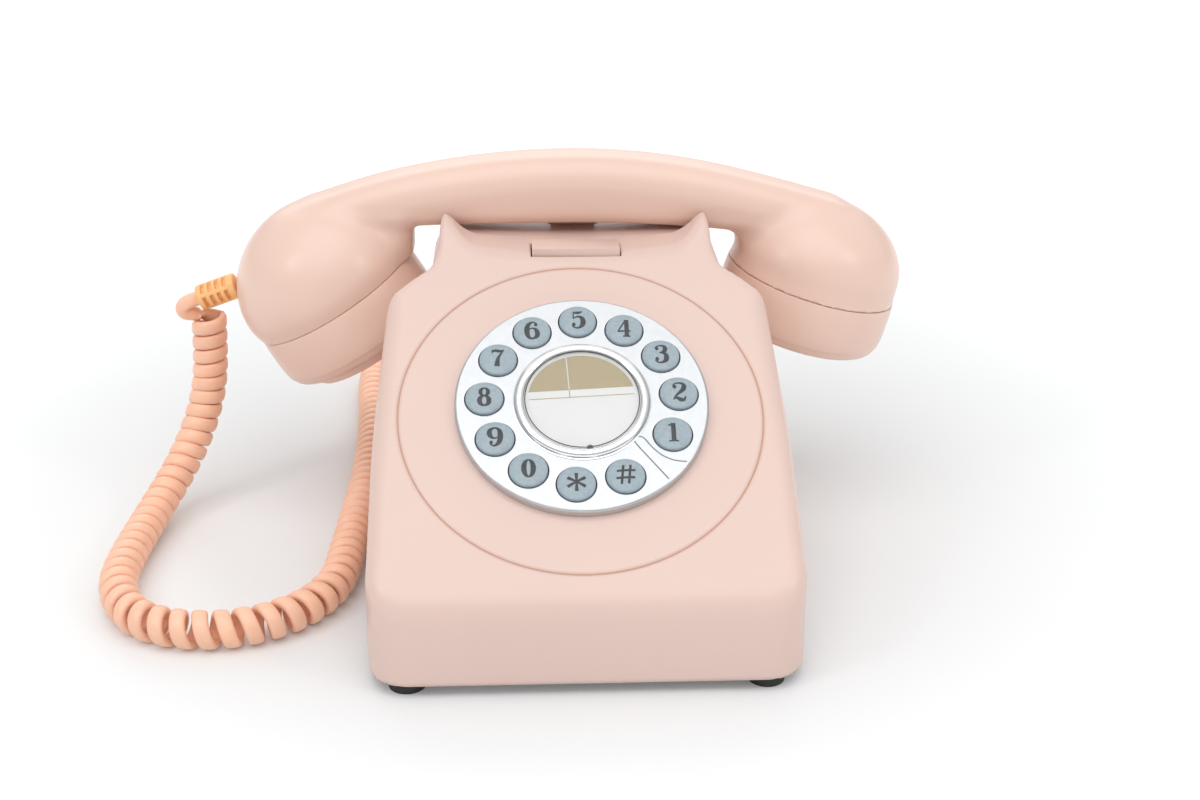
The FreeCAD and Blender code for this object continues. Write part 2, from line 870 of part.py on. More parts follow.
def cord_gland():
    """The bush that the handset cord goes into, at the back of the case."""
    back = Rotation(ABOUT_X, -90)
    x, z = dim("gland_side"), dim("gland_height")
    collar = cylinder("coil_radius", "5", (x, dim("case_rear") + 0.3, z), back)
    throat = cylinder("wire_radius + 1.4", "10", (x, dim("case_rear") - 9, z), back)
    heel = cylinder("wire_radius + 2.4", "2", (x, dim("case_rear") - 11, z), back)
    return piece("cord_gland", join(collar, throat, heel))


main_board()
board_pillars()
board_screws()
ballast_plate()
ringer_bracket()
ringer_coil()
gong("gong_left", -1)
gong("gong_right", 1)
gong_screws()
clapper()
line_jack()
ringer_switch()
cord_gland()

# ---------------------------------------------------------------- handset


def arc_through(half, high, radius):
    """An arc over X, from -half to half, that is highest in the middle."""
    y = dim("grip_y") - dim("grip_deep") / 2
    low = high - radius + math.sqrt(radius * radius - half * half)
    return Part.Arc(Vector(-half, y, low), Vector(0, y, high), Vector(half, y, low)).toShape()


def grip():
    """The bar between the cups: two arcs seen from the front, with rounded edges."""
    top = arc_through(dim("grip_top_half"), dim("grip_top"), dim("grip_top_bend"))
    bottom = arc_through(dim("grip_bottom_half"), dim("grip_bottom"), dim("grip_bottom_bend"))
    ends = []
    for k in (0, 1):
        ends.append(Part.LineSegment(bottom.Vertexes[k].Point, top.Vertexes[k].Point).toShape())
    bar = Part.Face(Part.Wire(Part.__sortEdges__([top, bottom] + ends)))
    bar = bar.extrude(Vector(0, dim("grip_deep"), 0))
    long_edges = [e for e in bar.Edges if e.Curve.TypeId == "Part::GeomCircle"]
    return bar.makeFillet(dim("grip_round"), long_edges)


def cup(frame):
    """A cup: half an ellipsoid over the seam with its cap."""
    dome = Part.makeSphere(1, Vector(0, 0, 0), ABOUT_Z, 0, 90, 360)
    grow = FreeCAD.Matrix()
    grow.scale(dim("cup_radius"), dim("cup_radius"), dim("cup_high"))
    dome = dome.transformGeometry(grow)
    dome.Placement = frame
    return dome


def cup_bore(frame):
    bore = Part.makeCylinder(dim("cup_bore"), dim("cup_bore_deep") + 2, Vector(0, 0, -2))
    bore.Placement = frame
    return bore


def handset_shell():
    shell = grip()
    for frame in (MOUTH, EAR):
        shell = shell.fuse(cup(frame))
    for frame in (MOUTH, EAR):
        below = Part.makeBox(120, 120, 60, Vector(-60, -60, -60))
        below.Placement = frame
        shell = shell.cut(below).cut(cup_bore(frame))
    hollow = Part.makeBox(150, 12, 9, Vector(-75, dim("grip_y") - 6, dim("grip_bottom") + 3))
    socket = Part.makeCylinder(dim("relief_radius") - 1.5, 16)
    socket.Placement = relief_frame() * place((0, 0, -15))
    return shell.cut(hollow).cut(socket)


def relief_frame():
    """Where the strain relief starts on the cup, its Z pointing away from the cup."""
    away = Rotation(ABOUT_Y, -90 - dim("relief_slope"))
    return place((-122.0, dim("grip_y"), 82.0), away)


def cap(label, frame, step):
    """A cap on a cup: a turned bowl with a raised middle and a ring of holes."""
    body = doc.addObject("PartDesign::Body", label + "_body")
    revolution(
        body,
        [
            ("0", "0 - cap_high - " + step),
            ("cap_step_radius", "0 - cap_high - " + step),
            ("cap_step_radius + 0.6", "0 - cap_high"),
            ("cap_foot - 3", "0 - cap_high"),
            ("cap_foot", "0 - cap_high + 2.8"),
            ("cup_radius", "0 - cap_high * 0.65"),
            ("cup_radius", "-0.3"),
            ("cup_bore - 0.4", "-0.3"),
            ("cup_bore - 0.4", "2"),
            ("cup_bore - cap_wall", "2"),
            ("cup_bore - cap_wall", "0 - cap_high + cap_wall"),
            ("0", "0 - cap_high + cap_wall"),
        ],
    )
    doc.recompute()
    hole = pocket(body, circle(new_sketch(body, "XY_Plane"), "cap_hole", "cap_hole_circle"))
    doc.recompute()
    polar(body, hole, 8)
    doc.recompute()
    body.Tip = pocket(body, circle(new_sketch(body, "XY_Plane"), "cap_hole"))
    return piece(label, body, frame)


def capsule(label, frame):
    """A transmitter or receiver capsule, seated in a cap."""
    drum = cylinder("capsule_radius", "capsule_thick", (0, 0, dim("cap_wall") - dim("cap_high") + 0.4))
    magnet = cylinder("capsule_radius / 2", "6", (0, 0, dim("capsule_thick") - dim("cap_high") + 2))
    return piece(label, join(drum, magnet), frame)


def handset_weight():
    return piece("handset_weight", block("60", "10", "6", (0, dim("grip_y"), dim("grip_bottom") + 4)))


def cord_relief():
    boot = cylinder("relief_radius", "relief_long")
    collar = cylinder("relief_radius - 1.7", "8", (0, 0, -7.5))
    return piece("cord_relief", join(boot, collar), relief_frame() * place((0, 0, 0.6)))


formed("handset_shell", handset_shell())
cap("mouthpiece_cap", MOUTH, "mouth_step")
cap("earpiece_cap", EAR, "ear_step")
capsule("transmitter", MOUTH)
capsule("receiver", EAR)
handset_weight()
cord_relief()

# ---------------------------------------------------------------- handset cord


def corner_arc(before, corner, after):
    """The largest arc that a corner's two runs allow, tangent to both, and its radius."""
    back = before - corner
    ahead = after - corner
    turn = math.pi - back.getAngle(ahead)
    shorter = min(back.Length, ahead.Length)
    reach = 0.45 * shorter
    radius = reach / math.tan(turn / 2)
    back.normalize()
    ahead.normalize()
    half = (math.pi - turn) / 2
    middle = corner + (back + ahead).normalize() * (radius / math.sin(half) - radius)
    return corner + back * reach, middle, corner + ahead * reach, radius


def cord_tube(label, route, radius):
    """A tube along straight runs joined by tangent arcs."""
    edges = []
    radii = []
    at = route[0]
    for before, corner, after in zip(route, route[1:], route[2:]):
        first, middle, last, bend = corner_arc(before, corner, after)
        edges.append(Part.LineSegment(at, first).toShape())
        edges.append(Part.Arc(first, middle, last).toShape())
        radii.append(bend)
        at = last
    edges.append(Part.LineSegment(at, route[-1]).toShape())
    path = Part.Wire(edges)
    ring = Part.Wire(Part.makeCircle(radius, route[0], route[1] - route[0]))
    tube = path.makePipeShell([ring], True, True)
    expected = math.pi * radius * radius * path.Length
    print(f"{label}: length {path.Length:.0f} mm, radii {[round(r) for r in radii]}")
    if abs(tube.Volume / expected - 1) > 0.01:
        raise RuntimeError(f"{label} has volume {tube.Volume:.0f}, and not {expected:.0f}")
    return formed(label, tube)


COIL_ROUTE = [
    (-136.4, 55.0, 68.5),
    (-137.0, 54.6, 54.5),
    (-138.2, 53.2, 40.0),
    (-142.0, 47.6, 25.8),
    (-147.4, 36.6, 14.6),
    (-152.6, 21.8, 7.6),
    (-156.6, 5.0, 6.1),
    (-159.2, -12.0, 6.1),
    (-159.4, -28.4, 6.1),
    (-153.4, -43.2, 6.1),
    (-142.3, -54.4, 6.1),
    (-127.8, -60.2, 6.1),
    (-112.2, -60.3, 6.1),
    (-97.8, -54.3, 6.1),
    (-86.8, -43.2, 6.1),
    (-81.1, -28.6, 6.1),
    (-81.0, -8.0, 6.1),
    (-82.6, 18.0, 6.1),
    (-83.0, 46.0, 6.1),
    (-84.8, 76.0, 6.1),
    (-85.2, 106.0, 6.1),
    (-86.8, 134.0, 6.1),
    (-86.6, 154.8, 6.1),
    (-80.6, 169.6, 6.1),
    (-69.4, 180.8, 6.1),
    (-54.8, 186.8, 6.1),
    (-38.8, 187.0, 6.1),
    (-24.0, 181.0, 6.1),
    (-12.6, 169.8, 6.2),
    (-6.4, 155.0, 6.8),
    (-5.6, 136.0, 9.2),
    (-6.0, 116.0, 12.5),
    (-6.0, 97.8, 12.5),
]
COIL = [Vector(*point) for point in COIL_ROUTE]

# the straight lead from the strain relief to the first turn, bent as sharply as the wire allows
LEAD = [
    Vector(-135.9, 55.0, 76.95),
    Vector(-140.4, 55.0, 75.3),
    Vector(-142.0, 55.0, 71.2),
    Vector(-139.4, 55.0, 67.6),
]
cord_tube("handset_cord", COIL, dim("coil_radius"))
cord_tube("cord_lead", LEAD, dim("wire_radius"))


# ---------------------------------------------------------------- check and write

doc.recompute()
for item in doc.Objects:
    if {"Invalid", "Error"} & set(item.State):
        raise RuntimeError(f"{item.Label} failed: {item.State}")
for item in pieces:
    if item.Shape.isNull() or not item.Shape.isValid():
        raise RuntimeError(f"{item.Label} has no valid shape")
os.makedirs("parts", exist_ok=True)
for item in pieces:
    item.Shape.exportStep(f"parts/{item.Label}.step")
    print(f"{item.Label}: {len(item.Shape.Solids)} solid(s), {item.Shape.Volume / 1000:.2f} cm3")
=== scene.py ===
"""A peach push-button desk telephone on a white table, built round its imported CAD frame."""

import json
import math

import bmesh
import bpy
import numpy as np
from mathutils import Matrix, Vector


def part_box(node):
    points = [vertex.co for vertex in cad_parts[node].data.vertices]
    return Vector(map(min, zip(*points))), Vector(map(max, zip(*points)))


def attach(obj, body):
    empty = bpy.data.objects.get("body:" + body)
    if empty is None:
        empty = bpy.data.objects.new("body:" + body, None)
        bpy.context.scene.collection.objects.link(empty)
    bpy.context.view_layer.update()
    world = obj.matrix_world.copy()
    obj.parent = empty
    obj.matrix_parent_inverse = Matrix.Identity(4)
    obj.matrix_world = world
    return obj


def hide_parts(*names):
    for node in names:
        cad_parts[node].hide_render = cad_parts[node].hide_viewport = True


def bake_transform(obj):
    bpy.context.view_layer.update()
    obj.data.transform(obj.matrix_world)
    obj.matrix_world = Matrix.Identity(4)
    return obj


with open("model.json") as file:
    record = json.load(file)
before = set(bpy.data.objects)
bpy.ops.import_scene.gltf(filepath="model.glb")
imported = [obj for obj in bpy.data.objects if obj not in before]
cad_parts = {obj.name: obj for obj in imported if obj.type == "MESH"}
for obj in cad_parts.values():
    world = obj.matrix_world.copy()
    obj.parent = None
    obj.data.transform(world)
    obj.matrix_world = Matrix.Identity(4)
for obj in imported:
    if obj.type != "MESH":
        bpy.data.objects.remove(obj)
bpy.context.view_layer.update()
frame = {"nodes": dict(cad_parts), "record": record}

MM = 0.001

# ---------------------------------------------------------------- camera

RIGHT = Vector((0.99872, -0.04986, 0.00858))
UP = Vector((0.01175, 0.39368, 0.91917))
BACK = Vector((-0.04921, -0.91789, 0.39376))

camera = bpy.data.objects.new("camera", bpy.data.cameras.new("camera"))
camera.data.lens = 50
camera.data.sensor_width = 36
turn = Matrix((RIGHT, UP, BACK)).transposed().to_4x4()
camera.matrix_world = Matrix.Translation((-0.02056, -0.52382, 0.28313)) @ turn
bpy.context.scene.collection.objects.link(camera)
bpy.context.scene.camera = camera

# ---------------------------------------------------------------- handset cord

COIL_ROUTE = [
    (-0.1330, 0.0550, 0.0708),
    (-0.1334, 0.0546, 0.0560),
    (-0.1350, 0.0532, 0.0412),
    (-0.1398, 0.0476, 0.0264),
    (-0.1462, 0.0366, 0.0150),
    (-0.1520, 0.0218, 0.0078),
    (-0.1542, 0.0050, 0.0064),
    (-0.1554, -0.0120, 0.0064),
    (-0.1552, -0.0284, 0.0064),
    (-0.1504, -0.0432, 0.0064),
    (-0.1416, -0.0544, 0.0064),
    (-0.1278, -0.0602, 0.0064),
    (-0.1122, -0.0603, 0.0064),
    (-0.0978, -0.0543, 0.0064),
    (-0.0868, -0.0432, 0.0064),
    (-0.0811, -0.0286, 0.0064),
    (-0.0802, -0.0080, 0.0064),
    (-0.0790, 0.0180, 0.0064),
    (-0.0778, 0.0460, 0.0064),
    (-0.0780, 0.0760, 0.0064),
    (-0.0794, 0.1060, 0.0064),
    (-0.0822, 0.1340, 0.0064),
    (-0.0826, 0.1548, 0.0064),
    (-0.0780, 0.1696, 0.0064),
    (-0.0694, 0.1808, 0.0064),
    (-0.0548, 0.1868, 0.0064),
    (-0.0388, 0.1870, 0.0064),
    (-0.0240, 0.1810, 0.0064),
    (-0.0126, 0.1698, 0.0062),
    (-0.0064, 0.1550, 0.0068),
    (-0.0056, 0.1360, 0.0092),
    (-0.0060, 0.1160, 0.0125),
    (-0.0060, 0.0978, 0.0125),
]
LEAD = [
    (-0.1340, 0.0550, 0.0776),
    (-0.1394, 0.0536, 0.0768),
    (-0.1424, 0.0530, 0.0742),
    (-0.1410, 0.0538, 0.0712),
    (-0.1376, 0.0550, 0.0708),
]
COIL_RADIUS = 6.4 * MM
WIRE_WIDE = 2.6 * MM  # half the wire's width, along the coil
WIRE_THICK = 1.55 * MM  # half its thickness, across the coil
TURN_STEPS = 22


def spline_points(points, spacing):
    """Points at an even spacing on the NURBS spline that has these control points."""
    curve = bpy.data.curves.new("route", "CURVE")
    curve.dimensions = "3D"
    spline = curve.splines.new("NURBS")
    spline.points.add(len(points) - 1)
    for point, control in zip(spline.points, points):
        point.co = (*control, 1)
    spline.order_u = 3
    spline.use_endpoint_u = True
    spline.resolution_u = 24
    holder = bpy.data.objects.new("route", curve)
    mesh = bpy.data.meshes.new_from_object(holder)
    line = np.array([v.co for v in mesh.vertices])
    bpy.data.meshes.remove(mesh)
    bpy.data.curves.remove(curve)
    along = np.concatenate([[0], np.cumsum(np.linalg.norm(np.diff(line, axis=0), axis=1))])
    at = np.linspace(0, along[-1], round(along[-1] / spacing) + 1)
    return np.stack([np.interp(at, along, line[:, k]) for k in range(3)], axis=1)


def unit(rows):
    return rows / np.maximum(np.linalg.norm(rows, axis=-1, keepdims=True), 1e-12)


def carried_frames(line):
    """The directions of a line, and at each point a normal carried along it without twisting."""
    ahead = unit(np.gradient(line, axis=0))
    normal = np.zeros_like(line)
    side = np.cross(ahead[0], (0, 1, 0))
    for k, direction in enumerate(ahead):
        side = side - direction * side.dot(direction)
        side = side / np.linalg.norm(side)
        normal[k] = side
    return ahead, normal


def coil_pitch(share):
    """The distance between turns at a share of the coil's length: the bottom loop is drawn open."""
    tight, open_turn = 5.5 * MM, 7.0 * MM
    return tight + (open_turn - tight) * np.exp(-(((share - 0.30) / 0.13) ** 2))


def helix(route):
    """The wire's centre and its outward direction, round and round the route."""
    ahead, normal = carried_frames(route)
    step = np.linalg.norm(route[1] - route[0])
    share = np.linspace(0, 1, len(route))
    angle = math.pi + np.cumsum(2 * math.pi * step / coil_pitch(share))
    other = np.cross(ahead, normal)
    out = normal * np.cos(angle)[:, None] + other * np.sin(angle)[:, None]
    return route + out * (COIL_RADIUS - WIRE_THICK), out


def smoothed(line, first, last, rounds):
    """The line with the stretch from first to last evened out."""
    line = line.copy()
    for _ in range(rounds):
        line[first:last] = (line[first - 1:last - 1] + line[first + 1:last + 1]) / 2
    return line


def oval_tube(name, line, out, wide, thick, sides=12):
    """A mesh tube of flattened oval section, its thin way pointing out."""
    ahead = unit(np.gradient(line, axis=0))
    out = unit(out - ahead * (out * ahead).sum(1, keepdims=True))
    across = np.cross(ahead, out)
    turn = np.linspace(0, 2 * math.pi, sides, endpoint=False)
    up, aside = (np.sign(v) * np.abs(v) ** 0.75 for v in (np.cos(turn), np.sin(turn)))
    rings = (
        line[:, None]
        + out[:, None] * (thick * up)[None, :, None]
        + across[:, None] * (wide * aside)[None, :, None]
    )
    count = len(line)
    first = np.arange(count - 1)[:, None] * sides
    k = np.arange(sides)[None]
    after = (k + 1) % sides
    quads = np.stack([first + k, first + after, first + sides + after, first + sides + k], -1)
    faces = quads.reshape(-1, 4).tolist()
    faces.append(list(range(sides))[::-1])
    faces.append([(count - 1) * sides + j for j in range(sides)])
    return new_mesh(name, rings.reshape(-1, 3), faces)


def new_mesh(name, points, faces, smooth=True):
    """A mesh object in the scene, from points in metres and faces."""
    mesh = bpy.data.meshes.new(name)
    mesh.from_pydata(np.asarray(points).tolist(), [], faces)
    mesh.update()
    mesh.polygons.foreach_set("use_smooth", [smooth] * len(mesh.polygons))
    made = bpy.data.objects.new(name, mesh)
    bpy.context.scene.collection.objects.link(made)
    return made


def curly_cord():
    """The lead from the strain relief, the coil's turns and the tail in the gland, as one wire."""
    route = spline_points(COIL_ROUTE, coil_pitch(0.0) / TURN_STEPS)
    lead = spline_points(LEAD, 0.4 * MM)
    turns, out = helix(route)
    keep_out = np.repeat([[0.0, -1.0, 0.3]], len(lead), axis=0)
    line = np.concatenate([lead, turns])
    out = np.concatenate([keep_out, out])
    joint = len(lead)
    line = smoothed(line, joint - 10, joint + 8, 30)
    out = unit(smoothed(out, joint - 14, joint + 6, 60))
    cord = oval_tube("curly_cord", line, out, WIRE_WIDE, WIRE_THICK)
    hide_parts("handset_cord", "cord_lead")
    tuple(LEAD[0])
    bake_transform(cord)
    return cord


cord = curly_cord()

# ---------------------------------------------------------------- light


def world_light(horizon, zenith):
    """An even white sky that brightens towards the top."""
    world = bpy.data.worlds.new("studio")
    world.use_nodes = True
    tree = world.node_tree
    place = tree.nodes.new("ShaderNodeTexCoord")
    split = tree.nodes.new("ShaderNodeSeparateXYZ")
    ramp = tree.nodes.new("ShaderNodeMapRange")
    ramp.inputs["To Min"].default_value = horizon
    ramp.inputs["To Max"].default_value = zenith
    tree.links.new(place.outputs["Generated"], split.inputs["Vector"])
    tree.links.new(split.outputs["Z"], ramp.inputs["Value"])
    tree.links.new(ramp.outputs["Result"], tree.nodes["Background"].inputs["Strength"])
    tree.nodes["Background"].inputs["Color"].default_value = (1.0, 1.0, 1.0, 1)
    bpy.context.scene.world = world


def area_light(name, place, target, width, height, power):
    """A white soft box at a place, facing its target."""
    light = bpy.data.lights.new(name, "AREA")
    light.shape = "RECTANGLE"
    light.size = width
    light.size_y = height
    light.energy = power
    holder = bpy.data.objects.new(name, light)
    holder.location = place
    holder.rotation_mode = "QUATERNION"
    holder.rotation_quaternion = (Vector(target) - Vector(place)).to_track_quat("-Z", "Y")
    bpy.context.scene.collection.objects.link(holder)


def sun(name, towards, strength, spread):
    """A sun shining along a direction, its disc so many degrees across."""
    light = bpy.data.lights.new(name, "SUN")
    light.energy = strength
    light.angle = math.radians(spread)
    holder = bpy.data.objects.new(name, light)
    holder.rotation_mode = "QUATERNION"
    holder.rotation_quaternion = Vector(towards).to_track_quat("-Z", "Y")
    bpy.context.scene.collection.objects.link(holder)


bpy.context.scene.view_settings.view_transform = "Standard"
world_light(0.33, 0.86)
sun("front_sun", (0.05, 0.37, -0.93), 1.05, 60)
area_light("back_soft_box", (0, 2.2, 1.3), (0, 0, 0.1), 3.0, 1.5, 17)
area_light("left_soft_box", (-0.75, -0.45, 0.75), (0, 0, 0.05), 0.18, 0.25, 1.0)
area_light("right_soft_box", (0.75, -0.45, 0.75), (0, 0, 0.05), 0.18, 0.25, 1.0)


# ---------------------------------------------------------------- materials


def pale(colour, share):
    return (*[min(1.0, c * share) for c in colour], 1)


def finish(name, colour, rough, spread=0.03, patch=30.0, grain=1500.0, bump=0.03, **sockets):
    """A material with broad patches of colour, and roughness and bump from a fine grain."""
    made = bpy.data.materials.new(name)
    made.use_nodes = True
    tree = made.node_tree
    shader = tree.nodes["Principled BSDF"]
    place = tree.nodes.new("ShaderNodeTexCoord")
    broad = tree.nodes.new("ShaderNodeTexNoise")
    broad.inputs["Scale"].default_value = patch
    broad.inputs["Detail"].default_value = 4
    fine = tree.nodes.new("ShaderNodeTexNoise")
    fine.inputs["Scale"].default_value = grain
    fine.inputs["Detail"].default_value = 3
    colours = tree.nodes.new("ShaderNodeValToRGB")
    colours.color_ramp.elements[0].position = 0.3
    colours.color_ramp.elements[0].color = pale(colour, 1 - spread)
    colours.color_ramp.elements[1].position = 0.7
    colours.color_ramp.elements[1].color = pale(colour, 1 + spread)
    polish = tree.nodes.new("ShaderNodeMapRange")
    polish.inputs["To Min"].default_value = rough * 0.85
    polish.inputs["To Max"].default_value = min(1.0, rough * 1.15)
    relief = tree.nodes.new("ShaderNodeBump")
    relief.inputs["Strength"].default_value = bump
    relief.inputs["Distance"].default_value = 0.3 * MM
    link = tree.links.new
    link(place.outputs["Object"], broad.inputs["Vector"])
    link(place.outputs["Object"], fine.inputs["Vector"])
    link(broad.outputs["Fac"], colours.inputs["Fac"])
    link(colours.outputs["Color"], shader.inputs["Base Color"])
    link(fine.outputs["Fac"], polish.inputs["Value"])
    link(polish.outputs["Result"], shader.inputs["Roughness"])
    link(fine.outputs["Fac"], relief.inputs["Height"])
    link(relief.outputs["Normal"], shader.inputs["Normal"])
    for socket, value in sockets.items():
        shader.inputs[socket].default_value = value
    return made


FINISHES = {
    "case_plastic": finish("peach_plastic", (0.745, 0.555, 0.49), 0.32, 0.012, 14, 260, 0.01),
    "dial_metal": finish("satin_silver", (0.57, 0.585, 0.60), 0.34, 0.03, 420, 2400, 0.10, Metallic=0.9),
    "key_plastic": finish("key_grey", (0.33, 0.40, 0.445), 0.42, 0.10, 750, 1900, 0.12),
    "label_card": finish("label_card", (0.74, 0.74, 0.735), 0.55, 0.015, 60, 1800, 0.04),
    "clear_plastic": finish("clear_window", (0.97, 0.98, 0.98), 0.06, 0.01, 60, 900, 0.01, Alpha=0.12),
    "grey_rubber": finish("dark_rubber", (0.025, 0.025, 0.026), 0.62, 0.15, 90, 1500, 0.15),
    "steel": finish("zinc_plate", (0.56, 0.57, 0.58), 0.36, 0.08, 90, 1400, 0.10, Metallic=0.95),
    "gong_brass": finish("brass", (0.72, 0.56, 0.29), 0.30, 0.06, 90, 1400, 0.08, Metallic=0.95),
    "board_laminate": finish("green_laminate", (0.08, 0.24, 0.12), 0.45, 0.12, 140, 1500, 0.08),
    "black_plastic": finish("black_plastic", (0.03, 0.03, 0.032), 0.42, 0.15, 90, 1700, 0.08),
    "relief_plastic": finish("orange_vinyl", (0.95, 0.53, 0.22), 0.42, 0.05, 160, 1700, 0.08),
    "cord_vinyl": finish("cord_vinyl", (0.95, 0.56, 0.39), 0.36, 0.04, 130, 1800, 0.02),
}
HANDSET_PLASTIC = finish("handset_plastic", (0.82, 0.585, 0.49), 0.32, 0.012, 14, 260, 0.01)
CHROME = finish("bright_trim", (0.88, 0.89, 0.90), 0.22, 0.02, 200, 1600, 0.02, Metallic=1.0)
INK = finish("dark_ink", (0.045, 0.05, 0.055), 0.50, 0.25, 700, 2200, 0.05)
GOLD = finish("gold_print", (0.38, 0.295, 0.14), 0.45, 0.05, 500, 2200, 0.05)
# dark grey for painted shade in the finger stop's engraving
ENGRAVING_SHADE = finish("engraving_shade_paint", (0.22, 0.22, 0.23), 0.5, 0.08, 500, 2200, 0.05)
# dark peach for painted shade in the foot of the groove round the dial
GROOVE_SHADE_PAINT = finish("groove_shade_paint", (0.55, 0.31, 0.23), 0.5, 0.03, 60, 900, 0.02)
PAPER_WHITE = finish("table_top", (0.735, 0.745, 0.75), 0.75, 0.006, 6, 500, 0.02)


def brighten_far(material, middle, near, far, most):
    """Lets a floor glow from a distance on, so that the table runs into a white background: painted
    light, none near the middle point and most far from it.
    """
    tree = material.node_tree
    shader = tree.nodes["Principled BSDF"]
    place = tree.nodes.new("ShaderNodeTexCoord")
    away = tree.nodes.new("ShaderNodeVectorMath")
    away.operation = "SUBTRACT"
    away.inputs[1].default_value = middle
    reach = tree.nodes.new("ShaderNodeVectorMath")
    reach.operation = "LENGTH"
    ramp = tree.nodes.new("ShaderNodeMapRange")
    ramp.interpolation_type = "SMOOTHSTEP"
    ramp.inputs["From Min"].default_value = near
    ramp.inputs["From Max"].default_value = far
    ramp.inputs["To Max"].default_value = most
    tree.links.new(place.outputs["Object"], away.inputs[0])
    tree.links.new(away.outputs["Vector"], reach.inputs[0])
    tree.links.new(reach.outputs["Value"], ramp.inputs["Value"])
    tree.links.new(ramp.outputs["Result"], shader.inputs["Emission Strength"])
    shader.inputs["Emission Color"].default_value = (1, 1, 1, 1)


def paint(thing, material):
    thing.data.materials.clear()
    thing.data.materials.append(material)
    return thing


def floor():
    """A wide white sheet that the telephone stands on, faintly uneven."""
    count, reach = 24, 14.0
    spots = np.linspace(-reach, reach, count + 1)
    points = [(x, y, 0.0) for y in spots for x in spots]
    faces = []
    for row in range(count):
        for column in range(count):
            corner = row * (count + 1) + column
            faces.append((corner, corner + 1, corner + count + 2, corner + count + 1))
    sheet = new_mesh("white_floor", points, faces)
    paint(sheet, PAPER_WHITE)


# painted light: the floor glows more the further it lies from a point behind the telephone, so it is
# brighter in front and far off
brighten_far(PAPER_WHITE, (0, 0.11, 0), 0.10, 0.44, 0.38)
paint(cord, FINISHES["cord_vinyl"])
floor()

# ---------------------------------------------------------------- solid shapes from distance fields

AXES = np.eye(3)


def both(a, b, radius):
    """Inside both, with the edge between them rounded."""
    inner = np.minimum(np.maximum(a, b), -radius)
    return inner + np.hypot(np.maximum(a + radius, 0), np.maximum(b + radius, 0))


def either(a, b, radius):
    """Inside one or the other, with the corner between them filled to a radius."""
    outer = np.maximum(np.minimum(a, b), radius)
    return outer - np.hypot(np.maximum(radius - a, 0), np.maximum(radius - b, 0))


def without(a, b, radius):
    return both(a, -b, radius)


def smooth_step(value, low, high):
    share = np.clip((value - low) / (high - low), 0, 1)
    return share * share * (3 - 2 * share)


def slope_of(field, points, reach=0.05):
    """The field's gradient, by differences."""
    parts = [field(points + axis * reach) - field(points - axis * reach) for axis in AXES]
    return np.stack(parts, axis=1) / (2 * reach)


def onto_surface(field, points, rounds, most=1.0):
    """Moves points along the field's gradient until they lie on its surface."""
    for _ in range(rounds):
        slope = slope_of(field, points)
        step = slope * (field(points) / np.maximum((slope * slope).sum(1), 0.05))[:, None]
        far = np.linalg.norm(step, axis=1, keepdims=True)
        points = points - step * np.minimum(1, most / np.maximum(far, 1e-9))
    return points


def surface_net(field, low, high, cell):
    """Points and quads of the surface where the field is zero, from a grid of cells."""
    axes = [np.arange(a, b + cell, cell) for a, b in zip(low, high)]
    grid = np.stack(np.meshgrid(*axes, indexing="ij"), axis=-1)
    value = field(grid.reshape(-1, 3)).reshape(grid.shape[:3])
    inside = value < 0
    cells = tuple(n - 1 for n in inside.shape)
    total, crossings = np.zeros((*cells, 3)), np.zeros(cells)
    quads = []
    for axis in range(3):
        near = [slice(None)] * 3
        far = [slice(None)] * 3
        near[axis], far[axis] = slice(None, -1), slice(1, None)
        a, b = value[tuple(near)], value[tuple(far)]
        crossed = inside[tuple(near)] != inside[tuple(far)]
        share = np.where(crossed, a / np.where(crossed, a - b, 1), 0)
        spot = grid[tuple(near)].copy()
        spot[..., axis] += share * cell
        others = [k for k in range(3) if k != axis]
        for shift_a in (0, 1):
            for shift_b in (0, 1):
                take = [slice(None)] * 3
                take[others[0]] = slice(shift_a, inside.shape[others[0]] - 1 + shift_a)
                take[others[1]] = slice(shift_b, inside.shape[others[1]] - 1 + shift_b)
                hit = crossed[tuple(take)]
                total += np.where(hit[..., None], spot[tuple(take)], 0)
                crossings += hit
        quads.append((axis, others, crossed, inside[tuple(near)]))
    used = crossings > 0
    number = -np.ones(cells, int)
    number[used] = np.arange(used.sum())
    points = total[used] / crossings[used][:, None]
    faces = []
    for axis, others, crossed, first_in in quads:
        at = np.argwhere(crossed)
        for other, limit in zip(others, (cells[others[0]], cells[others[1]])):
            at = at[(at[:, other] >= 1) & (at[:, other] < limit)]
        ring = []
        for shift_a, shift_b in ((1, 1), (0, 1), (0, 0), (1, 0)):
            corner = at.copy()
            corner[:, others[0]] -= shift_a
            corner[:, others[1]] -= shift_b
            ring.append(number[tuple(corner.T)])
        quad = np.stack(ring, axis=1)
        flip = first_in[tuple(at.T)] == (axis == 1)
        quad[flip] = quad[flip][:, ::-1]
        faces.append(quad)
    return points, np.concatenate(faces)


def evened(points, faces, rounds):
    """Points moved towards the middle of their neighbours, to make the quads more even."""
    edges = np.concatenate([faces[:, [k, (k + 1) % 4]] for k in range(4)])
    for _ in range(rounds):
        total = np.zeros_like(points)
        count = np.zeros(len(points))
        for a, b in (edges.T, edges.T[::-1]):
            np.add.at(total, a, points[b])
            np.add.at(count, a, 1)
        points = points * 0.5 + total / np.maximum(count, 1)[:, None] * 0.5
    return points


def padded_box(node, margin):
    """The corners of a CAD node's box in millimetres, a margin further out."""
    low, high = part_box(node)
    return [c / MM - margin for c in low], [c / MM + margin for c in high]


